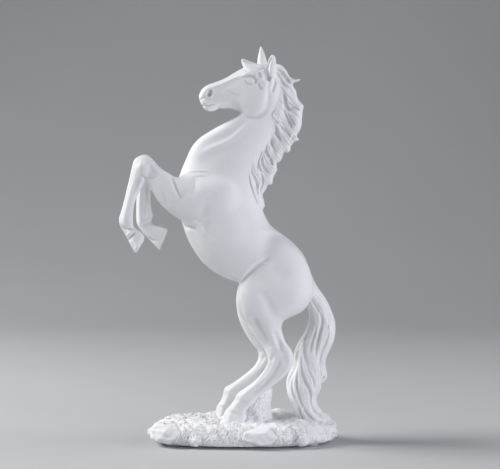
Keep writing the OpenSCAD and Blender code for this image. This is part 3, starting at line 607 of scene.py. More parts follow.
LIPS = [[-22.4, 252.6], [-19.5, 251.9], [-16.3, 251.5], [-12.3, 252.2], [-9.9, 252.7]]
for side in (-1, 1):
    swell(face, [21.5, side * 7.6, 256], [10.5, 4.6, 11], 0, 4)
    swell(face, [-14, side * 2.2, 250.3], [4.2, 3.4, 2.1], 0, 2)
    for line, width, depth in FACE_LINES:
        press(face, line, width, depth, side, 2, 5)
    press(face, LIPS, 0.42, 1.0, side, -1, 0)
    press(face, [[-7.8, 246.5], [-6, 251]], 1.7, 0.9, side, -1, 0)
    swell(face, [-14.2, side * 9.4, 261.4], [3.0, 2.2, 3.9], -24, 1.2, take=True)
    swell(face, [-13.9, side * 7.6, 261.4], [1.9, 2.9, 3.0], -24, 0.6, take=True)
    swell(face, [18, side * 9, 270.9], [3.4, 3.3, 2.6], 8, 1.4)
    swell(face, [22.4, side * 12.2, 270.6], [1.1, 1.4, 2.0], -20, 0.9, take=True)
soften(face.field, 1)
print(len(FACE_LINES), "lines on each side of the face")

# %% [markdown]
# ## Ears and forelock
#
# The near ear turns forwards and shows its hollow, the off ear stands up behind it, and a tuft of hair blows
# forward between them. They are pressed on the same block, so that they grow out of the head without a seam.

# %% Ears
NEAR_EAR = [
    [29.5, 275, 38, 275, 3, -6], [30.3, 280, 38.5, 281, 3.5, -7.5], [31.7, 285, 38.7, 285.5, 3.3, -9],
    [33.4, 289.2, 38, 289.4, 2.2, -10], [35.3, 291.6, 36.4, 291.6, 0.7, -10.5],
]
OFF_EAR = [
    [24.5, 278, 33.5, 277, 3, 5], [24, 284, 32.5, 283, 3.6, 6.5], [24, 289, 31.5, 288, 3.4, 8],
    [25, 294.5, 30, 293.5, 2.4, 9], [26.2, 300, 27.2, 300, 0.7, 9.5],
]
NEAR_HOLLOW = [[32.8, -9, 272], [31.2, -9.6, 276], [31.2, -10.5, 281], [32.8, -11.7, 285], [35, -11.8, 289]]
OFF_HOLLOW = [[27, 9.8, 281], [27, 11.6, 286], [27.2, 12.2, 291], [27.2, 12, 295.5]]
head_clay = face.like(face.field.copy())
ears = {}
for name, rows, hollow in (("near_ear", NEAR_EAR, NEAR_HOLLOW), ("off_ear", OFF_EAR, OFF_HOLLOW)):
    ears[name] = face.loft(spline(placed(rows), 6), 1.6, sides=32)
    path = spline(hollow, 6)
    scoop = face.like()
    strand(scoop, path, np.interp(np.linspace(0, 1, len(path)), [0, 0.25, 0.5, 1], [1.4, 2.3, 2.4, 0.5]), 0)
    face.carve(..., scoop.field, 0.6)

# %% Forelock
chance = np.random.default_rng(5)
FORELOCK_TOP = [[28, 0, 280.5], [24, 0, 283.4], [19.5, 0, 285], [15, -0.5, 286.6], [11.2, -1, 288.6]]
FORELOCK_LOW = [[27, 0, 279.5], [23, 0, 281.2], [19, 0, 281.4], [16, -0.5, 281.4], [13, -1, 282.4]]
FORELOCK_SIDE = [  # three strands down the side of the brow, the highest first
    [[28, 3, 282.8], [23.5, 4, 283.6], [18.5, 4, 283.6], [14.5, 3, 285], [11.6, 1.5, 287.6]],
    [[28.5, 6, 281], [23.5, 7.7, 281.3], [18.5, 7.7, 281.5], [14.5, 5.5, 283.2], [11.8, 2.5, 286.5]],
    [[28.5, 8.4, 279.5], [23.5, 10.6, 278.4], [18.5, 10.4, 278.6], [14.8, 7.8, 280.8], [12.2, 3.5, 285]],
]
tuft = face.like()
for drop in np.linspace(0, 1, 5):
    count = 3 if drop == 0 else 6
    for across in np.linspace(-1, 1, count):
        path = np.array(FORELOCK_TOP) * (1 - drop) + np.array(FORELOCK_LOW) * drop
        path[:, 1] += across * (0.35 + 0.65 * drop) * np.array([3.5, 4.8, 4.6, 3.6, 2.4])
        path[1:, 2] += chance.uniform(-0.5, 0.5)
        path[3:, 0] += chance.uniform(-0.6, 1.2)
        path = spline(path, 6)
        strand(tuft, path, tapered(len(path), 1.3, 0.8, 0.2), 0.3)
for side in (1, -1):
    for drop in np.linspace(0, 2, 6):
        upper, lower = (np.array(FORELOCK_SIDE[k]) for k in (min(int(drop), 1), min(int(drop), 1) + 1))
        path = upper + (lower - upper) * (drop - min(int(drop), 1))
        path[1:, 2] += chance.uniform(-0.3, 0.3)
        path[3:, 0] += chance.uniform(-0.5, 0.9)
        path = spline(path * [1, side, 1], 6)
        strand(tuft, path, tapered(len(path), 1.05, 0.8, 0.25), 0.15)
face.join(..., tuft.field, 0.5)
print("face, ears and forelock", round(time.time() - started, 1), "s")

# %% [markdown]
# ## Casting the pieces
#
# The clay is one mass, but the ornament is cast in parts. Its skin is cut where the castings meet, and each part
# is closed behind the cut. Shading across a cut would show a seam if each mesh worked out its own normals at its
# edge, so every vertex takes its normal from the slope of the clay, which doesn't know about the cuts.

# %% Reading the clay
def read(clay, points):
    """Field at any points, by weighing the eight grid points round each."""
    g = points / clay.voxel - clay.first
    i = np.clip(np.floor(g).astype(int), 0, clay.count - 2)
    f = np.clip(g - i, 0, 1)
    total = np.zeros(len(points))
    for corner in range(8):
        step = np.array([corner & 1, corner >> 1 & 1, corner >> 2 & 1])
        weight = np.prod(np.where(step, f, 1 - f), 1)
        total += weight * clay.field[tuple((i + step).T)]
    return total


def slope(clay, points):
    """Unit vectors along which the clay's distance grows fastest, from its change over one grid step each way."""
    step = np.eye(3) * clay.voxel
    grad = np.stack([read(clay, points + s) - read(clay, points - s) for s in step], 1)
    return grad / np.maximum(np.linalg.norm(grad, axis=1, keepdims=True), 1e-6)


def bending(clay, points, reach=0.9):
    """How sharply a skin bends: above 0 on ridges and below 0 in grooves.

    It is the sum of the second differences of the distance over reach mm along each axis, per mm.
    """
    around = sum(read(clay, points + s) + read(clay, points - s) for s in np.eye(3) * reach)
    return (around - 6 * read(clay, points)) / reach**2


# %% Casting
RESIN = bpy.data.materials.new("white resin")
TUCK = 1.2


def cast(name, clay, points, quads, normals=None, node=None, tuck=None, floor=0.0, painted_light=1.0):
    """Makes a piece of some of a skin's faces.

    Points that no face uses are dropped. An open edge is drawn in under the skin, by tuck or else TUCK mm against the
    normals, and the hole that is left is filled there, so that nothing of the filling shows beside the neighbouring
    piece. An open edge below floor is filled where it is. The last argument scales the painted shade in grooves and
    painted highlight on ridges, which follow how the skin bends.
    """
    normals = slope(clay, points) if normals is None else normals
    used, index = np.unique(quads, return_inverse=True)
    points, normals, quads = points[used], normals[used], index.reshape(quads.shape)
    # Painted shade and highlight: how sharply the skin bends, kept per point, darkens the paint in grooves and lightens
    # it on ridges.
    painted_light_by_bend = painted_light * bending(clay, points)
    edges = np.stack([quads, np.roll(quads, -1, 1)], -1).reshape(-1, 2)
    key = edges.min(1) * len(points) + edges.max(1)
    _, first, times = np.unique(key, return_index=True, return_counts=True)
    rim = edges[first[times == 1]]
    open_below = np.any(points[rim][..., 2] < floor, 1)
    rim, is_open = rim[~open_below], len(rim) > 0
    ends, index = np.unique(rim, return_inverse=True)
    index = index.reshape(rim.shape) + len(points)
    collar = np.column_stack([rim[:, 1], rim[:, 0], index[:, 0], index[:, 1]])
    inwards = -normals[ends] * min(TUCK, 0.3 * np.ptp(points, 0).min()) if tuck is None else np.array(tuck)
    points = np.vstack([points, points[ends] + inwards])
    normals, painted_light_by_bend = np.vstack([normals, normals[ends]]), np.concatenate([painted_light_by_bend, painted_light_by_bend[ends]])
    mesh = bpy.data.meshes.new(name)
    mesh.from_pydata(points * MM, [], np.vstack([quads, collar]))
    if is_open:
        shell = bmesh.new()
        shell.from_mesh(mesh)
        made = bmesh.ops.holes_fill(shell, edges=[e for e in shell.edges if e.is_boundary], sides=0)
        bmesh.ops.triangulate(shell, faces=made["faces"])
        shell.to_mesh(mesh)
        shell.free()
    mesh.shade_smooth()
    mesh.normals_split_custom_set_from_vertices(normals)
    # The bend attribute carries this painted shade and highlight to the resin.
    mesh.attributes.new("bend", "FLOAT", "POINT").data.foreach_set("value", painted_light_by_bend.astype(np.float32))
    mesh.materials.append(RESIN)
    piece = bpy.data.objects.new(name, mesh)
    bpy.context.collection.objects.link(piece)
    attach(piece, "root")
    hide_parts(node or name)
    print(name, len(mesh.vertices), "points,", sum(len(p.vertices) - 2 for p in mesh.polygons), "triangles")


def beyond(line, points):
    """Signed distance on the profile from points to a drawn line, above 0 on its left hand."""
    line = np.array(line, float) + [PROFILE_SHIFT, GROUND]
    d, hand, _ = line_distance(line, points[:, 0], points[:, 2])
    return d * hand


# %% Torso, neck and legs
HEAD_CUT = [
    [-40, 244.5], [0, 245.5], [9, 245.7], [13.5, 244.5], [20, 240.5], [27, 242.5], [34, 249], [40, 257], [43.5, 267],
    [45, 277], [46, 300],
]
NECK_CUT = [[-60, 217], [50, 186.5]]
NECK_LAP, NECK_DIP, HEAD_LAP = 2.5, 0.35, 0.3  # the neck runs on under the head, this deep, and the head over it
points, quads = body.skin()
middle = points[quads].mean(1)
head_side = beyond(HEAD_CUT, points)
normals = slope(body, points)
dip = NECK_DIP * ramp(head_side, -0.2, 2.2)
points -= normals * dip[:, None]
forms = [("torso", read(trunk, middle)), *[(name, read(leg, middle)) for name, leg in legs.items()]]
label = np.argmin([f for _, f in forms], 0)
label[(label == 0) & (beyond(NECK_CUT, middle) > 0)] = len(forms)
label[beyond(HEAD_CUT, middle) > NECK_LAP] = -1
for k, name in enumerate([name for name, _ in forms] + ["neck"]):
    cast(name, body, points, quads[label == k], normals)

# %% Head, ears and forelock
points, quads = face.skin()
middle = points[quads].mean(1)
normals = slope(face, points)
forms = [head_clay, *ears.values(), tuft]
label, second = np.argsort([read(form, middle) for form in forms], 0)[:2]
label[beyond(HEAD_CUT, middle) < -HEAD_LAP] = -1
stray = np.flatnonzero(label == 0)
stray = stray[~main_sheet(quads[stray], len(points))]
label[stray] = second[stray]
for k, name in enumerate(["head", *ears, "forelock"]):
    cast(name, face, points, quads[label == k], normals)

# %% [markdown]
# ## Mane
#
# The mane is blown back: it starts down the near side of the neck, swings out and ends in points past the crest.
# On the casting it is one mass with gouged flutes, and the sharp ridges left between two flutes read as strands.
# It is made the same way here. The neck's own form is thickened inside the drawn border of the hair, a rounded
# slab carries it on past the crest, and the flutes are pressed into both faces along drawn lines. Hair particles
# would give single hairs, which nobody could cast.

# %% Flutes
def relief(lines, x, z):
    """Depth of gouged flutes on the profile: at each point that of the deepest one, so ridges between stay sharp.

    A flute's depth falls with the square of the distance to its line. Flutes run out towards their lines' ends.
    """
    deepest = np.zeros(np.broadcast(x, z).shape, np.float32)
    for line, width, depth in lines:
        line = np.array(line, float) + [PROFILE_SHIFT, GROUND]
        line = spline(line, 5) if len(line) < 20 else line
        low, high = line.min(0) - width, line.max(0) + width
        i = slice(*np.searchsorted(x[:, 0], [low[0], high[0]]))
        k = slice(*np.searchsorted(z[0], [low[1], high[1]]))
        d, _, along = line_distance(line, x[i], z[:, k])
        run = np.minimum(1, 0.25 + 2.6 * np.minimum(along, 1 - along))
        deepest[i, k] = np.maximum(deepest[i, k], depth * run * (1 - (d / (width * (0.5 + 0.5 * run))) ** 2))
    return deepest


def sideways(line):
    """Unit vectors across a line at each of its points, to its left."""
    along = np.gradient(line, axis=0)
    return np.stack([-along[:, 1], along[:, 0]], 1) / np.linalg.norm(along, axis=1, keepdims=True)


def wavy(line, sway, phase):
    """A line swung to and fro across itself by sway mm, in a sine of a little over one turn."""
    return line + sideways(line) * (sway * np.sin(7 * np.linspace(0, 1, len(line)) + phase))[:, None]


def within(outline, x, z):
    """Whether each point of the profile is inside a closed outline: it is if a line from it meets an odd count."""
    odd = np.zeros(np.broadcast(x, z).shape, bool)
    for (ax, az), (bx, bz) in zip(outline, np.roll(outline, -1, 0)):
        if az != bz:
            odd ^= ((az > z) != (bz > z)) & (x < (bx - ax) * (z - az) / (bz - az) + ax)
    return odd


SKIRT = 1.5  # mm that hair reaches down into its host


def rooted(clay, host, blend):
    """Hair as its own piece: it melts into its host over blend mm, and its skirt dips just under the host's skin.

    The piece is hair and host together, kept only within blend of the hair, and above a depth in the host.
    """
    both = melt(clay.field, host.field, blend) + 0.1 * ramp(clay.field, 0.15 * blend, 0.75 * blend)
    shell = np.maximum(clay.field - 0.8 * blend, -host.field - SKIRT)
    return clay.like(np.maximum(both, np.maximum(shell, -clay.FAR)).astype(np.float32))


# %% Outline and locks of the mane
MANE_EDGE = [
    [37.6, 283.8], [38.8, 284.8], [42, 284.6], [45.2, 282.2], [47.6, 279], [49.2, 275.8], [51.6, 273.8],
    [54.8, 273.2], [57.8, 273.2], [57.6, 272], [55.6, 271], [53.2, 270.2], [52, 268.6], [53.2, 266.2], [54.8, 263],
    [55.6, 259], [57.2, 255.8], [59.6, 253.4], [60.8, 251], [60, 247.8], [59.6, 243], [59.2, 237.4], [58, 232.6],
    [56, 229.4], [55.6, 227], [57.2, 224.6], [55.6, 223.8], [53.2, 223], [51.2, 220.2], [50.4, 219], [50, 215.8],
    [48, 214.6], [45.6, 215], [44.4, 212.6], [43.2, 209], [41.2, 207], [39.2, 205.8], [39.6, 200.6], [38.4, 198.2],
    [36.8, 195], [36, 191.8], [35.6, 189.4], [32, 188.2], [30.8, 185.4], [28.4, 181.8], [28, 179.8], [29.2, 175.8],
    [29.6, 171.8], [28.8, 169.8], [26.4, 168.2],
]
MANE_ROOT = [
    [26.3, 168.3], [23.6, 168.3], [20.4, 173.5], [17.2, 179.8], [15.6, 187], [14.8, 194.1], [15.2, 200.4],
    [17.2, 204.4], [20.4, 210], [24.3, 215.5], [29.1, 221.9], [32.7, 227.4], [34.4, 233.8], [33.8, 239.3],
    [34, 245.6], [37, 252], [39.6, 259.1], [40.2, 265.5], [38.6, 271.8], [36.6, 278.2], [36.2, 282.9],
]
MANE_LOCKS = [  # each from its root to its tip, in order down the neck
    [[37, 284.5], [41.5, 284], [45.5, 281.5], [49, 277], [53, 273.8], [57.5, 272.7]],
    [[37, 280.5], [40.5, 278.5], [43.5, 274.5], [46.5, 271], [49.5, 269.6], [53, 269.6]],
    [[38, 276], [42, 271.5], [46, 267], [50.5, 262.5], [53.5, 258], [57.5, 254]],
    [[39, 271.5], [43, 267], [47, 262], [50.5, 257.5], [54, 253.5], [59, 250.8]],
    [[40, 266.5], [43.5, 262], [47, 257.5], [50.5, 253.8], [55, 251], [60.4, 249.6]],
    [[40, 260], [43, 255], [47, 250.5], [51.5, 248.2], [55.8, 246], [60, 243.5]],
    [[40.5, 255.5], [44.5, 250.5], [49.5, 246.5], [54, 242.5], [57, 238], [59, 233]],
    [[40.5, 252.5], [45, 248], [49, 242.5], [52, 238], [55, 233], [56.5, 229]],
    [[39.5, 250], [43, 245], [46.5, 239.5], [50, 233.5], [53, 228.5], [56.5, 224.5]],
    [[38.5, 247], [42, 241.5], [45, 236], [48.5, 231], [51.2, 227], [52.8, 223.2]],
    [[37, 243.5], [40, 238.5], [43.5, 233], [47, 228], [49.8, 223], [50.4, 219.5]],
    [[36, 239.5], [39.5, 233.5], [43.5, 227], [47, 221.5], [49.5, 217.5], [48.5, 215]],
    [[35, 235], [38, 229], [41.5, 222.5], [44.5, 217.5], [46.8, 215.3], [46.3, 214.6]],
    [[33.5, 231.5], [35.5, 225.5], [38.5, 219], [42, 213.8], [44.4, 211], [43, 207.8]],
    [[31.5, 228], [32.8, 221.5], [35.2, 214.5], [38.3, 209.8], [41.3, 207.2], [40.4, 205.4]],
    [[29.5, 224], [30, 217.5], [31.8, 210.5], [35, 205], [38.3, 202], [39.3, 200]],
    [[26.5, 219], [26.8, 212.5], [28.6, 206], [32.5, 201], [35.8, 198], [37, 195.5]],
    [[23.5, 215.5], [24.2, 209.5], [27, 203.2], [31, 198.2], [34.2, 194.5], [35, 189.6]],
    [[21, 212], [22.5, 205.5], [26, 199.5], [29.8, 195.5], [32, 192], [32.2, 188.2]],
    [[18.5, 208.5], [19.7, 201], [22.3, 194.3], [25.8, 190], [28.4, 186], [28, 180.5]],
    [[16.8, 205.5], [18, 198.5], [20.8, 192.3], [23.8, 187], [26.8, 181.5], [28.4, 176], [29.3, 171]],
    [[15.5, 202], [16, 195.5], [17.8, 189.5], [20.8, 184], [23.5, 179], [26.4, 173.5], [27.8, 168.6]],
    [[14.8, 197.5], [15.6, 190.8], [17.8, 184.5], [20.5, 179], [23.5, 173.5], [26, 168.2]],
]
MANE_FLUTES = [  # the deepest partings: drawn line, width and depth
    ([[40.2, 280.7], [42.6, 278.7], [45, 275.5], [47, 272.7], [49, 270.3], [51, 269.1]], 2.0, 2.3),
    ([[41.8, 273.5], [44.2, 269.5], [47, 267.2], [49.8, 266]], 1.5, 1.4),
    ([[44.2, 262.4], [45.5, 257.6], [46.2, 252.9], [47.8, 249.7], [50.6, 247.7]], 2.0, 2.3),
    ([[49, 250.1], [52.1, 250.3], [54.9, 249.3], [57.7, 248.1]], 1.3, 1.4),
    ([[44.6, 248.1], [46.2, 244.9], [47.8, 241.4], [49.4, 237.8], [51.3, 233.8]], 1.7, 2.2),
    ([[47.4, 246.1], [49.4, 242.6], [51.6, 239.4], [53.7, 235.4]], 1.4, 1.5),
    ([[41.4, 237], [43.4, 233.8], [46.6, 231.2], [49, 228.3], [50.6, 225.1]], 1.5, 1.6),
    ([[38.2, 235.4], [38.6, 231.4], [40.2, 227.5], [42.2, 223.5]], 2.1, 2.0),
    ([[35.1, 225.9], [34.9, 222.7], [36.3, 218.7], [38.6, 214.8]], 1.6, 1.6),
    ([[30.7, 220.3], [30.3, 216.3], [31.9, 212.4], [34.3, 209.2]], 1.6, 1.6),
    ([[26.7, 214.8], [24.6, 210.4], [23.6, 206.8], [24.7, 202.5], [27.5, 198.9]], 2.0, 2.0),
    ([[28.3, 212.4], [27.1, 208.8], [27.9, 204.4], [30.3, 200.5], [33.9, 197.3]], 1.5, 1.6),
    ([[34.1, 210.4], [34.7, 207.2], [35.9, 204]], 1.6, 2.0),
    ([[18.8, 202.8], [19.6, 198.1], [21.6, 193.7], [23.3, 189.4], [23.6, 184.6], [24, 179.8]], 1.5, 1.6),
    ([[16.3, 200.5], [16.4, 195.7], [17.2, 190.1], [19.2, 183.8], [21.6, 178.2], [24.4, 172.7]], 1.4, 1.5),
    ([[26.3, 198.1], [27.8, 194.1], [27.8, 189.4], [26.3, 184.6], [26.7, 179.8]], 1.3, 1.2),
    ([[34.7, 238.2], [37.9, 238.3], [41, 237]], 1.1, 0.9),
    ([[50.6, 224.3], [52.5, 227.1], [54.5, 226.3]], 1.3, 1.5),
]
MANE_CURL = [[42.5, 239.5], [39.5, 240.5], [37, 242.5], [36.5, 245], [38.5, 246.5], [41, 245.5], [41.5, 243.5]]
print(len(MANE_LOCKS), "locks and", len(MANE_FLUTES), "deep partings in the mane")

# %% Mane
MANE_LIFT, MANE_HALF, MANE_DIP = 1.5, 5.2, 0.15
MANE_VOXEL = 0.385
crest = fine_block([8, -16, 156], [70, 16, 296], MANE_VOXEL)
x, y, z = crest.axes()
x2, z2 = x[:, 0, :], z[:, 0, :]
tips, roots = (spline(np.array(line, float) + [PROFILE_SHIFT, GROUND], 4) for line in (MANE_EDGE, MANE_ROOT))
inside = np.where(within(np.vstack([tips, roots]), x2, z2), 1, -1)
to_tips, to_roots = (line_distance(line, x2, z2)[0] * inside for line in (tips, roots))
rise = np.where(inside > 0, (MANE_DIP + MANE_LIFT) * ramp(to_roots, 0, 6), to_roots) - MANE_DIP
rim = np.clip(to_tips / 6, 0, 1)
half = np.where(inside > 0, MANE_HALF * np.sqrt(rim * (2 - rim)), to_tips)
slab = (np.abs(y) - half[:, None, :]) * 0.85
slab = slab + (6 * (1 - ramp(to_roots, 0, 8)) * ramp(to_tips, 1, 8))[:, None, :]
mid = np.argmin(np.abs(y[0, :, 0]))
steps = np.linspace(0, 1, 24)
locks = [spline(np.array(lock, float), 6) for lock in MANE_LOCKS]
locks = [np.stack([np.interp(steps, np.linspace(0, 1, len(lock)), v) for v in lock.T], 1) for lock in locks]
comb = np.random.default_rng(3)
partings = list(MANE_FLUTES)
for above, below in zip(locks[:-1], locks[1:]):
    for share in (0.25, 0.75):
        share += comb.uniform(-0.2, 0.2)
        line = wavy(share * below + (1 - share) * above, comb.uniform(0.15, 0.5), 4 * below[0, 1])
        partings.append((line, comb.uniform(0.6, 1.1), comb.uniform(0.15, 0.6)))
flutes = np.minimum(relief(partings, x2, z2), 0.55 * np.maximum(half, -crest.field[:, mid, :]).clip(0))
mane = crest.like(melt(crest.field - rise[:, None, :], slab, 6))
mane.field += (flutes * np.where(inside > 0, ramp(to_roots, 0.5, 3), 0))[:, None, :] * ramp(np.abs(y), 0.3, 1.4)
press(mane, MANE_CURL, 0.6, -0.75, -1, 1, 3, ends=0.6)
mane.field = np.maximum(mane.field, -crest.field - SKIRT).astype(np.float32)
points, quads = mane.skin()
cast("mane", mane, points, quads)
print("mane", round(time.time() - started, 1), "s")

# %% [markdown]
# ## Tail
#
# The tail falls from the dock in one heavy S, kicks out in a curl on its outer side and spreads over the turf,
# where it carries part of the weight. It is a loft, fluted like the mane on both sides, and with narrow flutes
# down its front and back.

# %% Rows and flutes of the tail
TAIL = [
    [58, 108.5, 67, 116, 0.45, 0], [60.5, 100, 72, 107, 0.6, 0], [63, 92.5, 78.5, 98, 0.7, 0],
    [65, 86, 83.5, 87.5, 0.8, 0], [64.5, 79, 86, 79.5, 0.88, 0], [61.5, 70.5, 86.5, 71.5, 0.95, 0],
    [57, 63, 85, 63.5, 1, 0], [53.5, 55, 81, 54.5, 1, 0], [53, 47, 77.8, 47, 1, 0], [50, 39.5, 77, 40.5, 1, 0],
    [47.5, 33.5, 75.6, 32, 1, 0], [47.3, 25.5, 74.6, 25, 1, 0], [49, 18, 71.5, 18, 1, 0],
    [51.5, 12.5, 72.5, 12, 1.04, 0], [53.5, 6, 76.5, 6.5, 1.15, 0], [55.5, 0, 81, 0, 1.2, 0],
    [56, -3, 82, -3, 1.2, 0],
]
TAIL_FLUTES = [
    ([[65.5, 95.1], [66.7, 91.1], [67.4, 86.4], [67.1, 80], [65.9, 73.7], [64.3, 69], [62.7, 64.2], [61.8, 59.4],
     [61.6, 54.7], [62.4, 49.9], [63.5, 45.2], [65.1, 40.4]], 3.6, 2.4),
    ([[73, 88], [74.6, 84.8], [75.3, 80.8], [75, 76.9], [73.7, 72.1], [72.5, 67.4], [71.3, 62.6], [70.4, 57.9],
     [70.5, 52.3]], 2.6, 2.2),
    ([[64.7, 102.2], [67.1, 97.5], [69.5, 93.5], [71.9, 89.5], [73.8, 85.6]], 2.3, 1.5),
    ([[70.7, 76.1], [69.5, 70.5], [67.9, 65.8], [66.7, 61], [65.9, 55.5]], 2.3, 1.5),
    ([[59.2, 68.2], [57.6, 63.4], [57, 57.9], [56.3, 52.3], [55.1, 46.8], [53.1, 40.4], [50.9, 34.9], [49.7, 29.4],
     [50.1, 24.6]], 2.3, 1.5),
    ([[58.8, 51.5], [58.9, 46.8], [59.2, 42], [59.7, 37.3], [61, 33.3], [63, 29.4], [64.7, 26.2], [65.9, 21.4],
     [65.9, 16.7], [66.7, 11.9]], 2.6, 2.2),
    ([[56, 40.4], [55.5, 36.5], [55.2, 32.5], [55.4, 27.8], [56.2, 23.8], [57.4, 19.8], [58.8, 15.1], [60.8, 11.1]],
     2.6, 2.2),
    ([[54.4, 44.4], [53.2, 38.9], [52.1, 34.1], [51.7, 29.4], [52.2, 24.6], [53.6, 20.6], [55.2, 16.7], [57.6, 11.9]],
     2.3, 1.5),
    ([[62, 46.8], [63.5, 42.8], [65.5, 38.9], [67.9, 34.1], [69.1, 29.4], [69.3, 23.8]], 2.3, 1.5),
    ([[64.7, 48.4], [67.1, 42.8], [69.1, 38.9], [71.1, 34.1]], 1.8, 0.8),
    ([[80.6, 73.7], [79.4, 67.4], [77.4, 61.8], [74.9, 55.5], [73.7, 49.9], [73.7, 44.4], [74.2, 39.6]], 2.3, 1.5),
    ([[70.5, 52.3], [71.5, 47.6], [72.3, 42], [72.6, 36.5], [72.3, 30.9], [70.7, 25.4], [69.1, 19.8], [68.7, 15.1]],
     1.8, 0.8),
    ([[60.4, 29.4], [61.3, 24.6], [62.7, 19.8], [63.5, 15.1], [64.7, 10.3]], 1.8, 0.8),
    ([[78.2, 88], [80.2, 82.4], [81, 76.9]], 1.8, 0.8),
    ([[68.7, 88.8], [70.7, 83.2], [71.5, 77.7]], 1.8, 0.8),
    ([[77, 83.2], [78.2, 77.7], [77.8, 71.3], [76.2, 65], [74.2, 59.4]], 1.8, 0.8),
    ([[61.6, 73.7], [60.4, 68.2], [59.3, 62.6], [59, 57.1], [59.2, 52.3]], 1.8, 0.8),
    ([[60.5, 12.5], [62, 9], [65, 5], [69, 1.5]], 2.4, 1.8),
    ([[66.3, 13], [69, 9], [73, 5.5], [78, 2.5]], 2.4, 1.8),
    ([[56.8, 13], [58, 8], [60, 3], [61, -1]], 2.2, 1.6),
]
print(len(TAIL), "rows and", len(TAIL_FLUTES), "flutes in the tail")

# %% Tail
TAIL_CURL = [[74, 0, 50], [75, 0, 44], [77, 0, 38.5], [78, 0, 34.5], [77, 0, 31.5]]
HALF_TAIL = 12.0
TAIL_VOXEL = 0.4
rump = fine_block([42, -19, -5], [94, 19, 122], TAIL_VOXEL)
tail = rump.like()
tail.loft(spline(placed(TAIL, HALF_TAIL), 6), 0, sides=64, square=2.3)
path = spline(TAIL_CURL, 6)
strand(tail, path, np.interp(np.linspace(0, 1, len(path)), [0, 0.6, 1], [4, 2.4, 0.8]), 2.5)
x, y, z = tail.axes()
partings = []
for line, width, depth in TAIL_FLUTES:
    line = spline(np.array(line, float), 6)
    partings.append((line, 0.72 * width, depth))
    for aside in (-1, 1):
        hair = wavy(line + aside * comb.uniform(1.2, 2.2) * sideways(line), 0.4, comb.uniform(0, 6))
        partings.append((hair, comb.uniform(0.6, 1.1), comb.uniform(0.35, 0.8)))
tail.field += relief(partings, x[:, 0, :], z[:, 0, :])[:, None, :] * ramp(np.abs(y), 1.5, 5.5)
wander = y + 1.2 * np.sin(z / 11) + 0.7 * np.sin(z / 5 + x / 6)
tail.field += 0.9 * (1 - ramp(np.abs(y), 3.5, 8)) * (1 - np.abs(np.sin(wander * 0.95))) ** 2
tail = rooted(tail, rump, 1.5)
points, quads = tail.skin()
cast("tail", tail, points, quads)
print("tail", round(time.time() - started, 1), "s")

# %% [markdown]
# ## Turf base
#
# The base is an oval slab of turf with a bank behind, a mound under the fetlocks, boulders set in its rim and
# short chiselled grass all over. The slab is a skin over rings, with rows of tufts that stand up from it, and the
# foot of the tail spreads into it. A boulder is what is left between a few tilted planes, so it has flat faces and
# firm edges. Each blade of grass is a short bent rod laid on the slab's own skin, along a direction that turns
# slowly from place to place, and all blades are worked out together in one array.

# %% Shape of the turf
BASE_VOXEL = 0.43
base_low, base_high = (np.array(corner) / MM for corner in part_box("base"))
PAD_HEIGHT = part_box("pad_front_near")[1][2] / MM
BASE_X, HALF_LENGTH, HALF_BREADTH = 10.75, 75.25, 42.6
TURF = GROUND - PAD_HEIGHT
BANK, TUFT, TUFT_SPACING = 2.8, 2.2, 27.0
RIM = [[0.95, 0], [0.985, 0.14], [1, 0.35], [0.98, 0.55], [0.94, 0.74], [0.88, 0.88], [0.8, 0.96], [0.7, 1],
       [0.59, 1], [0.48, 1], [0.37, 1], [0.26, 1], [0.14, 1]]


def oval(angle, share):
    """Point of the base's outline at an angle, drawn in by share: a superellipse whose rim waves with the tufts."""
    count = round(math.pi * (HALF_LENGTH + HALF_BREADTH) / TUFT_SPACING)
    wave = 0.012 * (1 - np.cos(5 * angle)) + 0.2 * TUFT / HALF_BREADTH * (1 - np.cos(count * angle))
    c, s = np.cos(angle), np.sin(angle)
    share = share * (1 - wave)
    return (BASE_X + share * HALF_LENGTH * np.sign(c) * np.abs(c) ** 0.8,
            share * HALF_BREADTH * np.sign(s) * np.abs(s) ** 0.8)


def rise_of(x, y):
    """Height of the turf over the ground: the bank behind, and rows of tufts that wander both ways."""
    bank = BANK * ramp(y, 8, 30) * ramp(x - BASE_X, -20, 30)
    u, v = 2 * np.pi * x / TUFT_SPACING, 2 * np.pi * y / TUFT_SPACING
    return bank + TUFT * (0.5 + 0.5 * np.sin(u + 1.22 * np.sin(0.6 * v)) * np.cos(v + 1.05 * np.sin(0.55 * u)))


# %% Slab and mound
turf = Clay(base_low - 5, [base_high[0] + 5, base_high[1] + 5, GROUND + 40], BASE_VOXEL)
angle = np.linspace(0, 2 * np.pi, 160, endpoint=False)
rings = []
for share, rise in spline(np.array(RIM), 3):
    x, y = oval(angle, share)
    rings.append(np.stack([x, y, PAD_HEIGHT + rise * (TURF + rise_of(x, y) * rise**2)], -1))
rings = np.array(rings)
turf.press_on(closed(rings, rings[[0, -1]].mean(1)), 0)
MOUND = [
    [0, -6, 38, -6, 25, 0], [4, 0, 36, 0, 22.5, 0], [9, 10, 34, 10, 18.5, 0], [15.5, 18.5, 33.5, 18.5, 13, 0],
    [21, 25, 33, 25, 8, 0], [24.5, 28, 31, 28, 3, 0],
]
turf.loft(spline(placed(MOUND), 6), 5, sides=40)
TAIL_FOOT = [
    [50, -4, 86, -4, 18, 0], [52, 0, 83, 0, 12, 0], [54, 4, 79, 4, 8.5, 0], [56, 8, 74, 8, 5, 0],
]
turf.loft(spline(placed(TAIL_FOOT), 6), 4, sides=40)
lumps = np.random.default_rng(11)
cut, (x, y, z) = turf.window(base_low - 4, base_high + 4)
bumps = 0
for size, height in ((9, 0.7), (5, 0.6)):
    turn = lumps.normal(size=(6, 3)) / size
    phase = lumps.uniform(0, 6.3, 6)
    for (a, b, c), p in zip(turn * 2.2, phase):
        bumps = bumps + height / 2.4 * np.sin(a * x + b * y + c * z + p)
turf.field[cut] += (bumps * ramp(z, PAD_HEIGHT + 1, PAD_HEIGHT + 5)).astype(np.float32)
ground_only = turf.like(turf.field.copy())
print("slab", round(time.time() - started, 1), "s")

# %% Boulders
STONE_FACES = 17


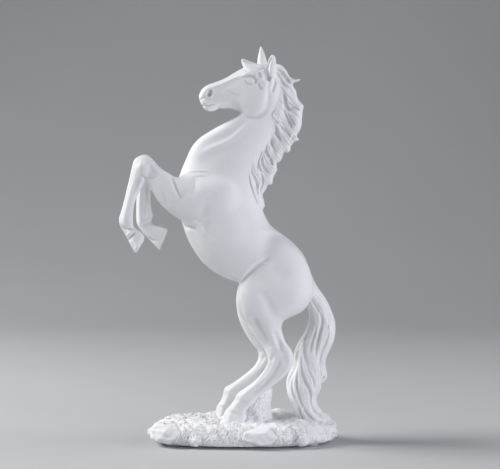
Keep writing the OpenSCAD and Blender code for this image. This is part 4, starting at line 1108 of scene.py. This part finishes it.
def boulder(clay, centre, radii, turn, seed):
    """Stone with flat faces: the largest of its distances to planes that look every way, turned along the rim.

    The planes' normals lie on a spiral from the top of a ball to its bottom, shaken a little, and one more looks up.
    """
    rng = np.random.default_rng(seed)
    c, s = math.cos(turn), math.sin(turn)
    cut, axes = clay.window(np.array(centre) - max(radii) - 8, np.array(centre) + max(radii) + 8)
    x, y, z = ((axis - m) for axis, m in zip(axes, centre))
    x, y, z = (x * c + y * s) / radii[0], (y * c - x * s) / radii[1], z / radii[2]
    height = 1 - 2 * (np.arange(STONE_FACES) + 0.5) / STONE_FACES
    way = 2.4 * np.arange(STONE_FACES)
    faces = np.stack([np.cos(way) * np.sqrt(1 - height**2), np.sin(way) * np.sqrt(1 - height**2), height], 1)
    faces = np.vstack([faces + rng.normal(0, 0.15, faces.shape), [-0.22, -0.3, 0.93]])
    faces /= np.linalg.norm(faces, axis=1, keepdims=True)
    reach = np.append(rng.uniform(0.84, 1.0, STONE_FACES), 0.84)
    stone = np.full(np.broadcast(*axes).shape, -Clay.FAR, np.float32)
    for n, r in zip(faces, reach):
        stone = -melt(-stone, -(x * n[0] + y * n[1] + z * n[2] - r) * min(radii), 0.8)
    rough = sum(np.sin(a * x + b * y + d * z) for a, b, d in rng.normal(0, 6, (10, 3)))
    clay.join(cut, np.clip(stone + 0.07 * rough, -Clay.FAR, Clay.FAR).astype(np.float32), 0.5)


BOULDERS = [  # angle round the rim, share of it, length, height, seed
    (217, 0.95, 25, 15, 3), (279, 0.85, 28, 15, 8), (244, 0.98, 10, 9, 4), (306, 0.98, 11, 10, 6),
    (20, 0.94, 9, 10, 12), (75, 0.98, 15, 7, 14), (128, 0.9, 21, 15, 15),
]
for degrees, share, length, height, seed in BOULDERS:
    x, y = oval(math.radians(degrees), share)
    out = math.atan2(y / HALF_BREADTH**2, (x - BASE_X) / HALF_LENGTH**2)
    radii = [0.55 * length, 0.42 * length, 0.55 * height]
    boulder(turf, [x, y, PAD_HEIGHT + 0.5 * height], radii, out + math.pi / 2, seed)
walls = min(turf.field[[0, -1]].min(), turf.field[:, [0, -1]].min())
print("boulders stay", round(float(walls), 1), "mm or more inside their block,", round(time.time() - started, 1), "s")


# %% Blades
def blades(clay, start, end, thick, thin):
    """Tapering rods, all at once: each is tried on a cube of grid points round it, and the least distance is kept."""
    span = int(np.ceil((np.linalg.norm(end - start, axis=1).max() / 2 + thick + 0.5) / clay.voxel))
    step = np.arange(-span, span + 1)
    cube = np.stack(np.meshgrid(step, step, step, indexing="ij"), -1).reshape(-1, 3)
    heart = np.round((start + end) / 2 / clay.voxel).astype(int) - clay.first
    inside = np.all((heart > span) & (heart < clay.count - span - 1), 1)
    for part in np.array_split(np.flatnonzero(inside), 24):
        where = heart[part][:, None, :] + cube
        a, u = (v[part][:, None, :].astype(np.float32) for v in (start, end - start))
        p = ((where + clay.first) * clay.voxel).astype(np.float32) - a
        t = np.clip((p * u).sum(-1) / (u * u).sum(-1), 0, 1)
        d = np.linalg.norm(p - t[..., None] * u, axis=-1) - thick - t * (thin - thick)
        np.minimum.at(clay.field, tuple(where.reshape(-1, 3).T), d.ravel().astype(np.float32))


# %% Grass
BLADES = 13000
points, quads = turf.skin()
normals = slope(turf, points)
stony = read(turf, points) < read(ground_only, points) - 0.6
grown = np.flatnonzero((points[:, 2] > PAD_HEIGHT + 0.4) & (normals[:, 2] > -0.7) & ~stony)
spots = lumps.choice(grown, BLADES)
root, up = points[spots], normals[spots]
sway = 0.9 + 1.1 * np.sin(root[:, 0] / 13 + 1) + 1.0 * np.cos(root[:, 1] / 11) + lumps.normal(0, 0.3, BLADES)
flow = np.stack([np.cos(sway), np.sin(sway), 0.5 + 0 * sway], 1)
flow -= up * (flow * up).sum(1, keepdims=True)
flow /= np.linalg.norm(flow, axis=1, keepdims=True)
long = lumps.uniform(2.2, 4.6, BLADES)[:, None]
bend = np.cross(up, flow) * lumps.normal(0, 0.2, BLADES)[:, None]
grass = turf.like()
elbow = root + long * 0.5 * (flow + bend) + up * 0.4
blades(grass, root - up * 0.25, elbow, 0.36, 0.42)
blades(grass, elbow, root + long * flow + up * 0.1, 0.42, 0.2)
turf.field = np.minimum(turf.field, grass.field)
lowest = (np.arange(turf.count[2]) + turf.first[2]) * turf.voxel
turf.field = np.maximum(turf.field, (PAD_HEIGHT - lowest)[None, None, :]).astype(np.float32)
print(len(grown), "points of turf for", BLADES, "blades")

# %% Base in three rings
BELTS, BASE_TUCK = [0.56, 0.91], 7.0
points, quads = turf.skin()
normals = slope(turf, points)
middle = points[quads].mean(1)
under = np.all(points[quads][..., 2] < PAD_HEIGHT + 0.2, 1)
from_heart = np.hypot((middle[:, 0] - BASE_X) / HALF_LENGTH, middle[:, 1] / HALF_BREADTH)
belt = np.digitize(from_heart, BELTS)
belt[under] = -1
for k, other in ((0, 1), (2, 1), (1, np.where(from_heart < np.mean(BELTS), 0, 2))):
    stray = np.flatnonzero(belt == k)
    stray = stray[~main_sheet(quads[stray], len(points))]
    belt[stray] = np.broadcast_to(other, belt.shape)[stray]
# The turf is given less painted shade between its blades and less painted highlight on them.
for k, name in enumerate(("base_top", "base_turf", "base")):
    cast(name, turf, points, quads[belt == k], normals, node="base", tuck=[0, 0, -BASE_TUCK], floor=PAD_HEIGHT + 0.6,
         painted_light=0.7)
print("grass", round(time.time() - started, 1), "s")

# %% [markdown]
# ## Finishes
#
# The casting is polyresin under a matt white paint: nearly neutral, a touch cool, with a very fine tooth and slightly
# uneven gloss. Shade is painted into its grooves and light onto its ridges, more where the surface bends more sharply.
# All patterns read Object coordinates, which are metres here, so their scales are per metre.

# %% Shader helpers
def finish(material, colour, roughness, **sockets):
    """Starts a material: its shader with the numbers that are the same all over set on its own sockets."""
    material.use_nodes = True
    shader = material.node_tree.nodes["Principled BSDF"]
    shader.inputs["Base Color"].default_value = (*colour, 1)
    shader.inputs["Roughness"].default_value = roughness
    for name, value in sockets.items():
        shader.inputs[name.replace("_", " ")].default_value = value
    return material.node_tree, shader


def noise(tree, scale, detail=3.0, stretch=None):
    """Noise on Object coordinates, finer as scale grows."""
    place = tree.nodes.new("ShaderNodeTexCoord").outputs["Object"]
    if stretch:
        mapping = tree.nodes.new("ShaderNodeMapping")
        mapping.inputs["Scale"].default_value = stretch
        tree.links.new(place, mapping.inputs["Vector"])
        place = mapping.outputs["Vector"]
    texture = tree.nodes.new("ShaderNodeTexNoise")
    texture.inputs["Scale"].default_value = scale
    texture.inputs["Detail"].default_value = detail
    tree.links.new(place, texture.inputs["Vector"])
    return texture.outputs["Fac"]


def spread(tree, value, low, high, start, end):
    """Carries a value from one range to another, held inside it."""
    node = tree.nodes.new("ShaderNodeMapRange")
    for name, number in (("From Min", low), ("From Max", high), ("To Min", start), ("To Max", end)):
        node.inputs[name].default_value = number
    tree.links.new(value, node.inputs["Value"])
    return node.outputs["Result"]


def stops(tree, value, colours):
    """Colour ramp through (place, colour) stops."""
    node = tree.nodes.new("ShaderNodeValToRGB")
    while len(node.color_ramp.elements) < len(colours):
        node.color_ramp.elements.new(0.5)
    for element, (place, colour) in zip(node.color_ramp.elements, colours):
        element.position, element.color = place, (*colour, 1)
    tree.links.new(value, node.inputs["Fac"])
    return node.outputs["Color"]


def grain(tree, shader, height, distance, strength):
    """Fine relief from a height, as deep as distance in metres."""
    bump = tree.nodes.new("ShaderNodeBump")
    bump.inputs["Distance"].default_value = distance
    bump.inputs["Strength"].default_value = strength
    tree.links.new(height, bump.inputs["Height"])
    tree.links.new(bump.outputs["Normal"], shader.inputs["Normal"])


# %% White resin
tree, shader = finish(RESIN, (0.83, 0.835, 0.85), 0.55, Specular_IOR_Level=0.4)
# Painted shade and highlight: the bend attribute darkens the paint in grooves and lightens it on ridges, through the
# tones below.
bend = tree.nodes.new("ShaderNodeAttribute")
bend.attribute_name = "bend"
PAINTED_LIGHT_TONES = [  # from grooves to ridges
    (0.1, (0.70, 0.69, 0.69)), (0.42, (0.815, 0.815, 0.825)), (0.5, (0.835, 0.84, 0.855)), (0.85, (0.87, 0.87, 0.88)),
]
painted_light = stops(tree, spread(tree, bend.outputs["Fac"], -1.2, 1.2, 0, 1), PAINTED_LIGHT_TONES)
cloud = stops(tree, noise(tree, 60, 4), [(0.3, (0.96, 0.96, 0.965)), (0.7, (1, 1, 1))])
mix = tree.nodes.new("ShaderNodeMix")
mix.data_type, mix.blend_type = "RGBA", "MULTIPLY"
mix.inputs["Factor"].default_value = 1
tree.links.new(painted_light, mix.inputs["A"])
tree.links.new(cloud, mix.inputs["B"])
tree.links.new(mix.outputs["Result"], shader.inputs["Base Color"])
tree.links.new(spread(tree, noise(tree, 180), 0.3, 0.7, 0.48, 0.64), shader.inputs["Roughness"])
grain(tree, shader, noise(tree, 1400, 2), 0.00005, 0.35)
print("resin made of", len(tree.nodes), "shader nodes")

# %% [markdown]
# ## Feet and hidden steel
#
# Four clear silicone pads keep the base off the shelf, and steel wires and dowels tie the castings together inside.
# Their CAD shapes are right as they are, so they only get a finish.

# %% Silicone and steel
silicone = bpy.data.materials.new("clear silicone")
tree, shader = finish(silicone, (0.80, 0.83, 0.87), 0.32, Transmission_Weight=0.55, IOR=1.41)
tree.links.new(spread(tree, noise(tree, 400), 0.3, 0.7, 0.25, 0.42), shader.inputs["Roughness"])
grain(tree, shader, noise(tree, 900, 2), 0.00004, 0.3)
steel = bpy.data.materials.new("drawn steel")
tree, shader = finish(steel, (0.56, 0.57, 0.59), 0.35, Metallic=1.0)
drawn = stops(tree, noise(tree, 250), [(0.3, (0.48, 0.49, 0.51)), (0.7, (0.62, 0.63, 0.65))])
tree.links.new(drawn, shader.inputs["Base Color"])
tree.links.new(spread(tree, noise(tree, 600, 2, (1, 1, 0.1)), 0.3, 0.7, 0.25, 0.45), shader.inputs["Roughness"])
for name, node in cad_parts.items():
    kind = silicone if name.startswith("pad_") else steel if name.endswith(("_wire", "_dowel")) else None
    if kind:
        for index in range(len(node.material_slots)):
            node.material_slots[index].material = kind
print("finished", len(bpy.data.materials), "materials")

# %% [markdown]
# ## Camera, floor and light
#
# The camera looks straight at the near side from a little above the horse's middle, through a long lens, so the
# sides stay nearly parallel. The floor sweeps up behind as in a photographer's cove. The key, a large soft lamp high on
# the left, models the neck, breast and legs. A weaker one high on the right rims the mane and rump, and two low ones,
# in front and to the right of it, open the shadows. The world is nearly dark, so that hollows stay deep.

# %% Camera
scene = bpy.context.scene
scene.view_settings.view_transform = "Standard"
FOCAL_PIXELS, PICTURE_WIDTH = 1500, 500
lens = bpy.data.cameras.new("camera")
lens.sensor_fit = "HORIZONTAL"
lens.sensor_width = 36.0
lens.lens = lens.sensor_width * FOCAL_PIXELS / PICTURE_WIDTH
camera = bpy.data.objects.new("camera", lens)
camera.location = (0.017, -1.2, 0.2)
camera.rotation_euler = (math.radians(90 - 1.62), 0, 0)
bpy.context.collection.objects.link(camera)
scene.camera = camera
print("lens", round(lens.lens), "mm, camera", round(camera.location.length, 2), "m away")


# %% Floor
def cove(width, front, back, height, radius, steps=24):
    """Floor that turns up into a wall: a line, a quarter circle and a line, carried along the width."""
    turn = np.linspace(0, np.pi / 2, steps)
    y = np.concatenate([[front], back - radius + radius * np.sin(turn), [back]])
    z = np.concatenate([[0], radius - radius * np.cos(turn), [height]])
    points = np.stack([np.repeat([-width, width], len(y)), np.tile(y, 2), np.tile(z, 2)], 1)
    k = np.arange(len(y) - 1)
    return points, np.stack([k, k + len(y), k + len(y) + 1, k + 1], 1)


mesh = bpy.data.meshes.new("cove")
points, faces = cove(width=4.0, front=-4.0, back=2.2, height=3.0, radius=1.2)
mesh.from_pydata(points, [], faces)
mesh.shade_smooth()
floor = bpy.data.objects.new("cove", mesh)
bpy.context.collection.objects.link(floor)
paper = bpy.data.materials.new("pale paper")
tree, shader = finish(paper, (0.52, 0.525, 0.54), 0.9)
fibre = stops(tree, noise(tree, 3), [(0.3, (0.51, 0.515, 0.53)), (0.7, (0.53, 0.535, 0.55))])
tree.links.new(fibre, shader.inputs["Base Color"])
mesh.materials.append(paper)
print("floor of", len(faces), "faces")


# %% Lamps
LAMP_SIZE, AIM = 0.8, (0, 0, 0.16)


def lamp(name, place, power, colour):
    """Soft square lamp at a place, turned towards the aim."""
    data = bpy.data.lights.new(name, "AREA")
    data.shape, data.size, data.energy, data.color = "SQUARE", LAMP_SIZE, power, colour
    light = bpy.data.objects.new(name, data)
    light.location = place
    light.rotation_euler = (Vector(AIM) - Vector(place)).to_track_quat("-Z", "Y").to_euler()
    bpy.context.collection.objects.link(light)


lamp("key", (-1.31, 0.11, 1.08), 31.0, (1.0, 0.99, 0.975))
lamp("rim", (1.31, 0.0, 1.08), 7.5, (0.94, 0.96, 1.0))
lamp("fill", (1.3, -0.91, 0.38), 10.0, (0.93, 0.945, 1.0))
lamp("front", (0.14, -1.58, 0.38), 4.4, (0.93, 0.945, 1.0))
print("lamps:", len(bpy.data.lights))
world = bpy.data.worlds.new("studio")
world.use_nodes = True
world.node_tree.nodes["Background"].inputs["Color"].default_value = (0.86, 0.91, 1.0, 1)
world.node_tree.nodes["Background"].inputs["Strength"].default_value = 0.06
scene.world = world
